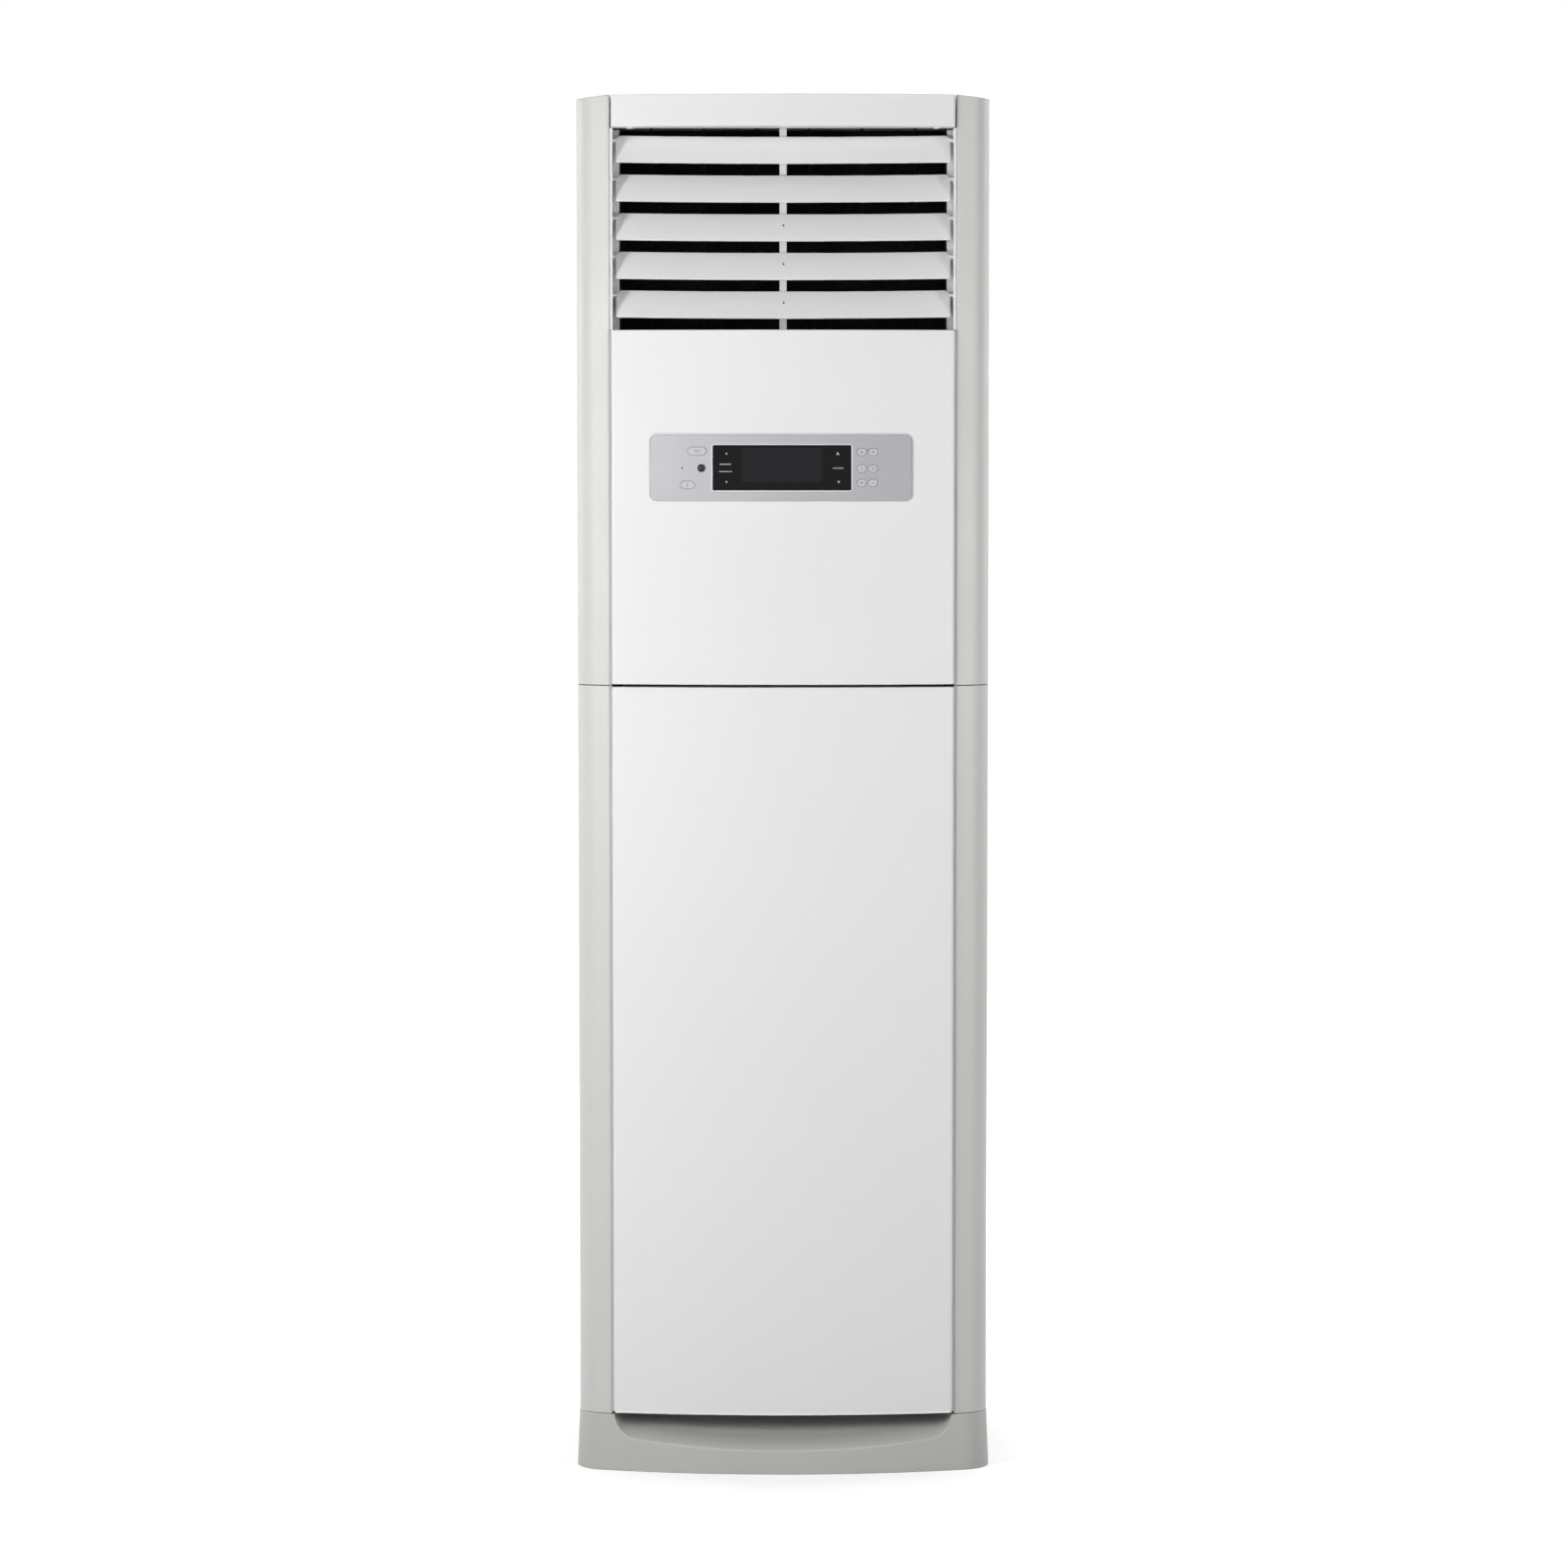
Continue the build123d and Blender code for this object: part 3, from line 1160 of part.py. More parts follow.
def scroll_outlet():
    """X range of the scroll's outlet at the deck."""
    return (-SCROLL_STEP / 2, SCROLL_STEP * 2.5 + WHEEL_RADIUS + TONGUE_GAP)


def blower_housing():
    with BuildPart() as housing:
        with BuildSketch(front_plane(SCROLL_FRONT)):
            add(scroll_outline())
        extrude(amount=-SCROLL_DEPTH)
        offset(amount=-SCROLL_WALL, openings=housing.faces().sort_by(Axis.Z)[-1])
        with BuildSketch(front_plane(SCROLL_FRONT - CUT_MARGIN)):
            with Locations((0, WHEEL_Z)):
                Circle(INLET_RADIUS)
        extrude(amount=-(SCROLL_WALL + 2 * CUT_MARGIN), mode=Mode.SUBTRACT)
        with BuildSketch(front_plane(SCROLL_BACK + CUT_MARGIN)):
            with Locations((0, WHEEL_Z)):
                Circle(MOTOR_PORT_RADIUS)
        extrude(amount=SCROLL_WALL + 2 * CUT_MARGIN, mode=Mode.SUBTRACT)
    return housing.part


def inlet_ring():
    """Bellmouth: a flat flange on the scroll's face, drawn in to a throat inside the wheel."""
    with BuildPart() as ring:
        with BuildSketch(Plane.YZ):
            with BuildLine():
                front = SCROLL_FRONT - RING_THICK
                Polyline(
                    (SCROLL_FRONT, WHEEL_Z + RING_OUTER),
                    (front, WHEEL_Z + RING_OUTER),
                    (front, WHEEL_Z + RING_THROAT + RING_DEPTH),
                )
                RadiusArc(
                    (front, WHEEL_Z + RING_THROAT + RING_DEPTH),
                    (front + RING_DEPTH, WHEEL_Z + RING_THROAT),
                    -RING_DEPTH,
                )
                Line(
                    (front + RING_DEPTH, WHEEL_Z + RING_THROAT),
                    (front + RING_DEPTH, WHEEL_Z + RING_THROAT + RING_THICK),
                )
                RadiusArc(
                    (front + RING_DEPTH, WHEEL_Z + RING_THROAT + RING_THICK),
                    (SCROLL_FRONT, WHEEL_Z + RING_THROAT + RING_DEPTH),
                    RING_DEPTH - RING_THICK,
                )
                Line(
                    (SCROLL_FRONT, WHEEL_Z + RING_THROAT + RING_DEPTH),
                    (SCROLL_FRONT, WHEEL_Z + RING_OUTER),
                )
            make_face()
        revolve(axis=Axis((0, 0, WHEEL_Z), (0, 1, 0)))
    return ring.part


def wheel_plane(y):
    """Front-facing plane with its origin on the wheel's axis."""
    return Plane(origin=(0, y, WHEEL_Z), x_dir=(1, 0, 0), z_dir=(0, -1, 0))


def blower_wheel():
    blade_radius = WHEEL_RADIUS - WHEEL_RING / 2
    blade_chord = (WHEEL_RING - 2 * CUT_MARGIN) / cos(radians(WHEEL_BLADE_TURN))
    with BuildPart() as wheel:
        with BuildSketch(wheel_plane(WHEEL_BACK)):
            Circle(WHEEL_RADIUS)
        extrude(amount=WHEEL_PLATE)
        with BuildSketch(wheel_plane(WHEEL_FRONT + WHEEL_PLATE)):
            Circle(WHEEL_RADIUS)
            Circle(WHEEL_RADIUS - WHEEL_RING, mode=Mode.SUBTRACT)
        extrude(amount=WHEEL_PLATE)
        with BuildSketch(wheel_plane(WHEEL_BACK)):
            with PolarLocations(blade_radius, WHEEL_BLADES):
                Rectangle(blade_chord, WHEEL_BLADE_THICK, rotation=WHEEL_BLADE_TURN)
        extrude(amount=WHEEL_DEPTH)
        with BuildSketch(wheel_plane(WHEEL_BACK)):
            Circle(HUB_RADIUS)
        extrude(amount=HUB_LENGTH)
        with BuildSketch(wheel_plane(WHEEL_BACK + CUT_MARGIN)):
            Circle(SHAFT_RADIUS)
        extrude(amount=WHEEL_DEPTH, mode=Mode.SUBTRACT)
    return wheel.part


def motor_shaft():
    front = WHEEL_BACK - HUB_LENGTH - SHAFT_RADIUS
    with BuildPart() as shaft:
        with BuildSketch(wheel_plane(front)):
            Circle(SHAFT_RADIUS)
        extrude(amount=-SHAFT_LENGTH)
        chamfer(shaft.edges().filter_by(GeomType.CIRCLE), SHAFT_CHAMFER)
    return shaft.part


def blower_motor():
    """Can motor on a square-cornered flange behind the scroll, with a bearing bore."""
    with BuildPart() as motor:
        with BuildSketch(wheel_plane(SCROLL_BACK)):
            Circle(MOTOR_RADIUS)
            with PolarLocations(MOTOR_LUG_RADIUS, MOTOR_LUGS, start_angle=45):
                Circle(MOTOR_FLANGE_RADIUS - MOTOR_LUG_RADIUS)
        extrude(amount=-MOTOR_FLANGE)
        with BuildSketch(wheel_plane(SCROLL_BACK + MOTOR_FLANGE)):
            Circle(MOTOR_RADIUS)
        extrude(amount=-(MOTOR_LENGTH - MOTOR_FLANGE))
        fillet(motor.faces().sort_by(Axis.Y)[-1].edges(), MOTOR_RIM_RADIUS)
        with BuildSketch(wheel_plane(SCROLL_BACK)):
            with PolarLocations(MOTOR_LUG_RADIUS, MOTOR_LUGS, start_angle=45):
                Circle(SCREW_SHANK_RADIUS + FIT)
        extrude(amount=-MOTOR_FLANGE, mode=Mode.SUBTRACT)
        with BuildSketch(wheel_plane(SCROLL_BACK - CUT_MARGIN)):
            Circle(SHAFT_RADIUS + PIN_FIT)
        extrude(amount=-(MOTOR_LENGTH - MOTOR_FLANGE), mode=Mode.SUBTRACT)
    return motor.part


# ---------------------------------------------------------------- deck, drain pan, coil
def pipe_drop(at, y):
    """X and Y where a pipe passes down through the deck."""
    return (EXIT_X + at[0], y)


def partition_deck():
    x_low, x_high = scroll_outlet()
    nose_half = SIDE_IN - FLANGE - FIT
    nose_back = PILLAR_BACK + SHEET
    with BuildPart() as deck:
        add(box_between((-SIDE_IN, nose_back, DECK_Z), (SIDE_IN, REAR_IN - SHEET, DECK_Z + SHEET)))
        add(box_between((-nose_half, INNER_FRONT, DECK_Z), (nose_half, nose_back, DECK_Z + SHEET)))
        with BuildSketch(Plane.XY.offset(DECK_Z - CUT_MARGIN)):
            with Locations(((x_low + x_high) / 2, (SCROLL_FRONT + SCROLL_BACK) / 2)):
                Rectangle(
                    x_high - x_low - 2 * SCROLL_WALL, SCROLL_DEPTH - 2 * SCROLL_WALL
                )
            with Locations(pipe_drop(SUCTION_AT, SUCTION_DROP_Y)):
                Circle(SUCTION_RADIUS + PIPE_CLEAR)
            with Locations(pipe_drop(LIQUID_AT, LIQUID_DROP_Y)):
                Circle(LIQUID_RADIUS + PIPE_CLEAR)
            with Locations((DRAIN_X, COIL_FOOT_Y)):
                Circle(DRAIN_COLLAR_RADIUS + FIT)
        extrude(amount=SHEET + 2 * CUT_MARGIN, mode=Mode.SUBTRACT)
        add(
            box_between(
                (-nose_half, INNER_FRONT, DECK_Z - FLANGE), (nose_half, INNER_FRONT + SHEET, DECK_Z)
            )
        )
    return deck.part


def drain_pan():
    floor = DECK_Z + SHEET
    collar = SHEET + DRAIN_COLLAR_DROP
    with BuildPart() as pan:
        add(
            box_between(
                (-PAN_HALF, INNER_FRONT, floor), (PAN_HALF, INNER_FRONT + PAN_DEPTH, floor + PAN_HEIGHT)
            )
        )
        offset(amount=-PAN_WALL, openings=pan.faces().sort_by(Axis.Z)[-1])
        with BuildSketch(Plane.XY.offset(floor)):
            with Locations((DRAIN_X, COIL_FOOT_Y)):
                Circle(DRAIN_COLLAR_RADIUS)
        extrude(amount=-collar)
        with BuildSketch(Plane.XY.offset(floor)):
            with Locations((DRAIN_X, COIL_FOOT_Y)):
                Circle(DRAIN_RADIUS)
        extrude(amount=-(collar + DRAIN_LENGTH))
        with BuildSketch(Plane.XY.offset(floor + PAN_WALL)):
            with Locations((DRAIN_X, COIL_FOOT_Y)):
                Circle(DRAIN_BORE)
        extrude(amount=-(collar + DRAIN_LENGTH + PAN_WALL), mode=Mode.SUBTRACT)
    return pan.part


def coil_point(along, across=0.0):
    """Y and Z of a point of the coil's section, from the middle of its lower end."""
    tilt = radians(COIL_TILT)
    foot_z = DECK_Z + SHEET + PAN_WALL + COIL_FOOT_GAP
    return (
        COIL_FOOT_Y + along * sin(tilt) + across * cos(tilt),
        foot_z + along * cos(tilt) - across * sin(tilt),
    )


def coil_plane(x):
    """Plane square to X at the coil's lower end, its y along the coil."""
    tilt = radians(COIL_TILT)
    y, z = coil_point(0)
    return Plane(origin=(x, y, z), x_dir=(0, cos(tilt), -sin(tilt)), z_dir=(1, 0, 0))


def coil_fins():
    with BuildPart() as coil:
        with BuildSketch(coil_plane(-COIL_HALF)):
            with Locations((0, COIL_LENGTH / 2)):
                Rectangle(COIL_THICK, COIL_LENGTH)
        extrude(amount=2 * COIL_HALF)
        start = -(COIL_GROOVES - 1) / 2 * COIL_GROOVE_PITCH
        for side in (-1, 1):
            for groove in range(COIL_GROOVES):
                with BuildSketch(coil_plane(start + groove * COIL_GROOVE_PITCH)):
                    with Locations((side * COIL_THICK / 2, COIL_LENGTH / 2)):
                        Rectangle(2 * COIL_GROOVE, COIL_LENGTH + 2 * CUT_MARGIN)
                extrude(amount=COIL_GROOVE, mode=Mode.SUBTRACT)
    return coil.part


def coil_end_plates():
    """Steel plate at each end of the coil, with a foot in the pan and a tongue to the rear."""
    foot_y, foot_z = coil_point(0)
    top_y, top_z = coil_point(COIL_LENGTH, -COIL_THICK / 2)
    pan_floor = DECK_Z + SHEET + PAN_WALL
    with BuildPart() as plates:
        with BuildSketch(coil_plane(COIL_HALF + END_PLATE_GAP)):
            with Locations((0, COIL_LENGTH / 2)):
                Rectangle(COIL_THICK, COIL_LENGTH)
        extrude(amount=SHEET)
        with BuildSketch(side_plane(COIL_HALF + END_PLATE_GAP)):
            with Locations((foot_y, (pan_floor + foot_z + COIL_THICK / 2) / 2)):
                Rectangle(END_PLATE_FOOT, foot_z + COIL_THICK / 2 - pan_floor)
            with Locations(((top_y + REAR_IN) / 2, top_z - END_PLATE_TONGUE_DROP)):
                Rectangle(REAR_IN - top_y, END_PLATE_TONGUE)
        extrude(amount=SHEET)
        mirror(about=Plane.YZ)
    return plates.part


def pipe(points, radius, bend):
    """Tube along straight runs joined by tangent arcs."""
    with BuildPart() as tube:
        with BuildLine() as path:
            FilletPolyline(*points, radius=bend)
        with BuildSketch(Plane(origin=path.line @ 0, z_dir=path.line % 0)):
            Circle(radius)
        sweep()
    return tube.part


def header_route(at, drop_y, header_x, rise):
    """Route of a pipe from its rear union up to the header beside the coil."""
    x = EXIT_X + at[0]
    z = EXIT_Z + at[1]
    low_y, low_z = coil_point(HEADER_LOW)
    high_y, high_z = coil_point(HEADER_HIGH)
    return [
        (x, UNION_BACK, z),
        (x, drop_y, z),
        (x, drop_y, DECK_Z + rise),
        (header_x, low_y, low_z),
        (header_x, high_y, high_z),
    ]


def coil_tubes():
    """Bends at the left end, headers with stubs at the right end, and two rear unions."""
    bend_x = -(COIL_HALF + END_PLATE_GAP + SHEET)
    pitch = (HEADER_HIGH - HEADER_LOW) / (STUB_COUNT - 1)
    stub_start = COIL_HALF + END_PLATE_GAP + SHEET
    with BuildPart() as tubes:
        suction = header_route(SUCTION_AT, SUCTION_DROP_Y, SUCTION_X, SUCTION_RISE)
        liquid = header_route(LIQUID_AT, LIQUID_DROP_Y, LIQUID_X, LIQUID_RISE)
        add(pipe(suction, SUCTION_RADIUS, PIPE_BEND))
        add(pipe(liquid, LIQUID_RADIUS, LIQUID_BEND))
        for row in range(STUB_COUNT):
            y, z = coil_point(HEADER_LOW + (STUB_START + row * STUB_STEP) * pitch)
            with BuildSketch(side_plane(stub_start)):
                with Locations((y, z)):
                    Circle(STUB_RADIUS)
            extrude(amount=SUCTION_X - stub_start)
        for at, radius in ((SUCTION_AT, SUCTION_UNION_RADIUS), (LIQUID_AT, LIQUID_UNION_RADIUS)):
            with BuildSketch(front_plane(UNION_BACK - UNION_THREAD)):
                with Locations((EXIT_X + at[0], EXIT_Z + at[1])):
                    RegularPolygon(radius, 6)
            extrude(amount=UNION_LENGTH)
        for row in range(BEND_COUNT):
            along = (row + 0.5) * BEND_PITCH + TUBE_RADIUS
            y, z = coil_point(along)
            tilt = radians(COIL_TILT)
            across = (0, cos(tilt), -sin(tilt))
            up_coil = (0, sin(tilt), cos(tilt))
            end_plane = Plane(origin=(bend_x, y, z), x_dir=across, z_dir=(-1, 0, 0))
            with BuildSketch(end_plane):
                with Locations((BEND_RADIUS, 0)):
                    Circle(TUBE_RADIUS)
            revolve(axis=Axis((bend_x, y, z), up_coil), revolution_arc=180)
    return tubes.part


# ---------------------------------------------------------------- rear exits
def pipe_grommet():
    """Rubber ring in the rear panel, with a lip on each face."""
    with BuildPart() as ring:
        for y, depth, wall in (
            (REAR_OUT, SHEET, GROMMET_WALL),
            (REAR_OUT + SCREW_HEAD_HEIGHT, SCREW_HEAD_HEIGHT, GROMMET_WALL + GROMMET_LIP),
            (REAR_IN, SCREW_HEAD_HEIGHT, GROMMET_WALL + GROMMET_LIP),
        ):
            with BuildSketch(front_plane(y)):
                with Locations((EXIT_X, EXIT_Z)):
                    Circle(EXIT_RADIUS + wall)
                    Circle(EXIT_RADIUS, mode=Mode.SUBTRACT)
            extrude(amount=depth)
    return ring.part


def cable_gland():
    """Empty gland for the supply cord: a threaded body with a nut inside the rear panel."""
    with BuildPart() as gland:
        with BuildSketch(front_plane(BACK)):
            with Locations((GLAND_X, GLAND_Z)):
                RegularPolygon(GLAND_HEX, 6)
        extrude(amount=SCREW_HEAD_HEIGHT)
        with BuildSketch(front_plane(BACK)):
            with Locations((GLAND_X, GLAND_Z)):
                Circle(GLAND_RADIUS)
        extrude(amount=GLAND_LENGTH)
        with BuildSketch(front_plane(REAR_IN)):
            with Locations((GLAND_X, GLAND_Z)):
                RegularPolygon(GLAND_HEX, 6)
        extrude(amount=GLAND_NUT)
        with BuildSketch(front_plane(BACK + CUT_MARGIN)):
            with Locations((GLAND_X, GLAND_Z)):
                Circle(GLAND_BORE)
        extrude(amount=GLAND_LENGTH + 2 * CUT_MARGIN, mode=Mode.SUBTRACT)
    return gland.part


# ---------------------------------------------------------------- control box
def control_box():
    low_z = DECK_Z - BOX_HEIGHT
    front = INNER_FRONT + SHEET
    with BuildPart() as tray:
        add(
            box_between(
                (BOX_X - BOX_WIDTH / 2, front, low_z),
                (BOX_X + BOX_WIDTH / 2, front + BOX_DEPTH, DECK_Z),
            )
        )
        offset(amount=-SHEET, openings=tray.faces().sort_by(Axis.Y)[0])
        with BuildSketch(front_plane(front + BOX_DEPTH - SHEET)):
            with Locations((BOX_X, (low_z + DECK_Z) / 2)):
                with GridLocations(
                    BOX_WIDTH - 4 * CARD_MARGIN, BOX_HEIGHT - 4 * CARD_MARGIN, 2, 2
                ):
                    Circle(POST_RADIUS)
        extrude(amount=BOX_STANDOFF)
    return tray.part


def control_box_cover():
    low_z = DECK_Z - BOX_HEIGHT
    front = INNER_FRONT
    return box_between(
        (BOX_X - BOX_WIDTH / 2, front, low_z), (BOX_X + BOX_WIDTH / 2, front + SHEET, DECK_Z - FLANGE)
    )


def card_back():
    """Y of the rear face of the control board, on its standoffs."""
    return INNER_FRONT + BOX_DEPTH - BOX_STANDOFF


def control_board():
    mid_z = DECK_Z - BOX_HEIGHT / 2
    # middle of each component from the middle of the board, with its width, height and length
    components = [
        (-120.0, 30.0, 34.0, 30.0, 26.0),
        (-70.0, 34.0, 22.0, 22.0, 20.0),
        (-30.0, 20.0, 26.0, 40.0, 8.0),
        (30.0, -20.0, 30.0, 14.0, 12.0),
        (80.0, -24.0, 18.0, 18.0, 16.0),
        (-110.0, -34.0, 50.0, 12.0, 10.0),
    ]
    with BuildPart() as card:
        with BuildSketch(front_plane(card_back())):
            with Locations((BOX_X, mid_z)):
                Rectangle(BOX_WIDTH - 2 * CARD_MARGIN, BOX_HEIGHT - 2 * CARD_MARGIN)
        extrude(amount=CARD_THICK)
        for x, z, width, height, length in components:
            with BuildSketch(front_plane(card_back() - CARD_THICK)):
                with Locations((BOX_X + x, mid_z + z)):
                    Rectangle(width, height)
            extrude(amount=length)
    return card.part


def terminal_block():
    """Screw terminal strip standing on the board's lower right corner."""
    back = card_back() - CARD_THICK
    at = (
        BOX_X + BOX_WIDTH / 2 - CARD_MARGIN - TERMINAL_INSET - TERMINAL_WIDTH / 2,
        DECK_Z - BOX_HEIGHT / 2 + TERMINAL_RISE,
    )
    with BuildPart() as block:
        with BuildSketch(front_plane(back)):
            with Locations(at):
                Rectangle(TERMINAL_WIDTH, TERMINAL_HEIGHT)
        extrude(amount=TERMINAL_DEPTH)
        with BuildSketch(front_plane(back - TERMINAL_DEPTH)):
            with Locations(at):
                with GridLocations(TERMINAL_WIDTH / TERMINAL_WAYS, 1, TERMINAL_WAYS, 1):
                    Circle(TERMINAL_HOLE)
        extrude(amount=-TERMINAL_DEPTH / 2, mode=Mode.SUBTRACT)
    return block.part


# ---------------------------------------------------------------- write every piece
def pieces():
    """Name and shape of every piece."""
    yield "base_plinth", base_plinth()
    yield "base_pan", base_pan()
    yield "rear_panel", rear_panel()
    yield "case_screws", case_screws()
    yield "top_cover", top_cover()
    yield "top_front_strip", top_front_strip()
    yield "upper_front_panel", upper_front_panel()
    yield "lower_front_panel", lower_front_panel()
    for name, right in (
        ("side_panel", right_side_panel()),
        ("pillar_lower", right_pillar_lower()),
        ("pillar_upper", right_pillar_upper()),
        ("intake_grille", right_intake_grille()),
        ("filter", right_filter()),
    ):
        yield f"right_{name}", right
        yield f"left_{name}", twin(right)
    yield "outlet_frame", outlet_frame()
    for index in range(LOUVRE_COUNT):
        yield f"louvre_{index + 1}", louvre(index)
    yield "louvre_link", louvre_link()
    for index in range(VANE_COUNT):
        yield f"vane_{index + 1}", vane(index)
    yield "vane_link", vane_link()
    yield "swing_motor", swing_motor()
    yield "display_bezel", display_bezel()
    yield "display_window", display_window()
    yield "display_board", display_board()
    for index, key in enumerate(KEYS):
        yield f"key_{index + 1}", key_button(key)
    yield "blower_housing", blower_housing()
    yield "inlet_ring", inlet_ring()
    yield "blower_wheel", blower_wheel()
    yield "motor_shaft", motor_shaft()
    yield "blower_motor", blower_motor()
    yield "partition_deck", partition_deck()
    yield "drain_pan", drain_pan()
    yield "coil_fins", coil_fins()
    yield "coil_end_plates", coil_end_plates()
    yield "coil_tubes", coil_tubes()
    yield "pipe_grommet", pipe_grommet()
    yield "cable_gland", cable_gland()
    yield "control_box", control_box()
    yield "control_box_cover", control_box_cover()
    yield "control_board", control_board()
    yield "terminal_block", terminal_block()


os.makedirs("parts", exist_ok=True)
for label, shape in pieces():
    shape.label = label
    export_step(shape, f"parts/{label}.step")
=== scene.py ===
"""Floor standing air conditioner: finishes, small trim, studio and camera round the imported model.

Metres, front towards -Y, floor at z 0.
"""

import json
from math import cos, pi, radians, sin, sqrt

import bmesh
import bpy
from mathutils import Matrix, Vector


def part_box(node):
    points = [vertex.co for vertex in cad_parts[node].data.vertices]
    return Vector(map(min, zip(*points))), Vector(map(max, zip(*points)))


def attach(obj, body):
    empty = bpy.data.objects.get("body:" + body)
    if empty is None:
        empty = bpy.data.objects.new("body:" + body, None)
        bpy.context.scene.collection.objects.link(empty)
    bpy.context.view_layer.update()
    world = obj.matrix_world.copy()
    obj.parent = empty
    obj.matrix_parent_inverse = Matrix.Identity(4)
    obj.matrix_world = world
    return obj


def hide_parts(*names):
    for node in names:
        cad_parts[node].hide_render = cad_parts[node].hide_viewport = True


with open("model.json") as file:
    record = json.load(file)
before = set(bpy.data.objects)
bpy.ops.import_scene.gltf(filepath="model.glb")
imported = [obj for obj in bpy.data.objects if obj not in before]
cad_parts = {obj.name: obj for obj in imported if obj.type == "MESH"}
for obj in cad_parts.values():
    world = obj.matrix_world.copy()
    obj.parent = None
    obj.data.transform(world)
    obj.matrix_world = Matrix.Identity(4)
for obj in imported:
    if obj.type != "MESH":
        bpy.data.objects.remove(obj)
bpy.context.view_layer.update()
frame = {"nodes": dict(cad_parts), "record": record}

MM = 0.001
NODES = frame["nodes"]


# ---------------------------------------------------------------- places read from the frame
def front_size(low, high):
    """Middle, width and height of a node seen from the front."""
    return (low.x + high.x) / 2, (low.z + high.z) / 2, high.x - low.x, high.z - low.z


BEZEL_LOW, BEZEL_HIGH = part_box("display_bezel")
WINDOW_LOW, WINDOW_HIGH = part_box("display_window")
PANEL_LOW, PANEL_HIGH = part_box("upper_front_panel")
LOWER_LOW, LOWER_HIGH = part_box("lower_front_panel")
COVER_LOW, COVER_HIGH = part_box("top_cover")
PLINTH_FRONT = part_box("base_plinth")[0].y
STRIP_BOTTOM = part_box("top_front_strip")[0].z
SIDE_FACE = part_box("right_side_panel")[1].x
REAR_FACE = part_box("rear_panel")[1].y
SCREW_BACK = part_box("case_screws")[1].y

BEZEL = front_size(BEZEL_LOW, BEZEL_HIGH)
WINDOW = front_size(WINDOW_LOW, WINDOW_HIGH)
BEZEL_MID_X, BEZEL_MID_Z = BEZEL[:2]
WINDOW_MID_Z = WINDOW[1]

BOW_RADIUS = 1.430              # bow of the front panels, in plan
PLINTH_BOW_RADIUS = 0.950
PLINTH_TAPER = 0.04             # the plinth's face leans back by this share of the height
DUCT_FRONT = -127.6 * MM        # where the black painted shade of the duct begins behind the louvre bay
SHADE_BLACK_FOOT = 720 * MM          # lower edge of the black painted shade inside the cabinet
FIN_PITCH = 1.8 * MM
NET_PITCH = 1.6 * MM

# levels in front of the panel's face
WINDOW_LEVEL = 2.1 * MM
KEY_LEVEL = 3.5 * MM
PRINT_SUNK = 0.05 * MM
PRINT_PROUD = 0.06 * MM

# paler screen area inside the window, from the display's middle
SCREEN_RIGHT, SCREEN_UP = 1.0 * MM, 3.5 * MM
SCREEN_HALF_X, SCREEN_HALF_Z = 52 * MM, 21 * MM
SCREEN_BLUR = 2 * MM

# the part of a noise that is spread over a whole range of tones
NOISE_LOW, NOISE_HIGH = 0.3, 0.7


# ---------------------------------------------------------------- node helpers
class Nodes:
    """Short calls for the nodes of one tree."""

    def __init__(self, tree):
        self.tree = tree
        tree.nodes.clear()

    def add(self, kind, **values):
        node = self.tree.nodes.new(kind)
        for key, value in values.items():
            setattr(node, key, value)
        return node

    def put(self, socket, value):
        """Link an output to a socket, or set the socket's own value."""
        if isinstance(value, bpy.types.NodeSocket):
            self.tree.links.new(value, socket)
        elif value is not None:
            socket.default_value = value

    def math(self, operation, a, b=None, clamp=False):
        node = self.add("ShaderNodeMath", operation=operation, use_clamp=clamp)
        self.put(node.inputs[0], a)
        self.put(node.inputs[1], b)
        return node.outputs["Value"]

    def times(self, a, b):
        return self.math("MULTIPLY", a, b)

    def seen(self):
        """1 for a ray from the camera, off a gloss or through glass, and 0 for one that lights things."""
        rays = self.add("ShaderNodeLightPath").outputs
        straight = self.math("MAXIMUM", rays["Is Camera Ray"], rays["Is Glossy Ray"])
        return self.math("MAXIMUM", straight, rays["Is Transmission Ray"])


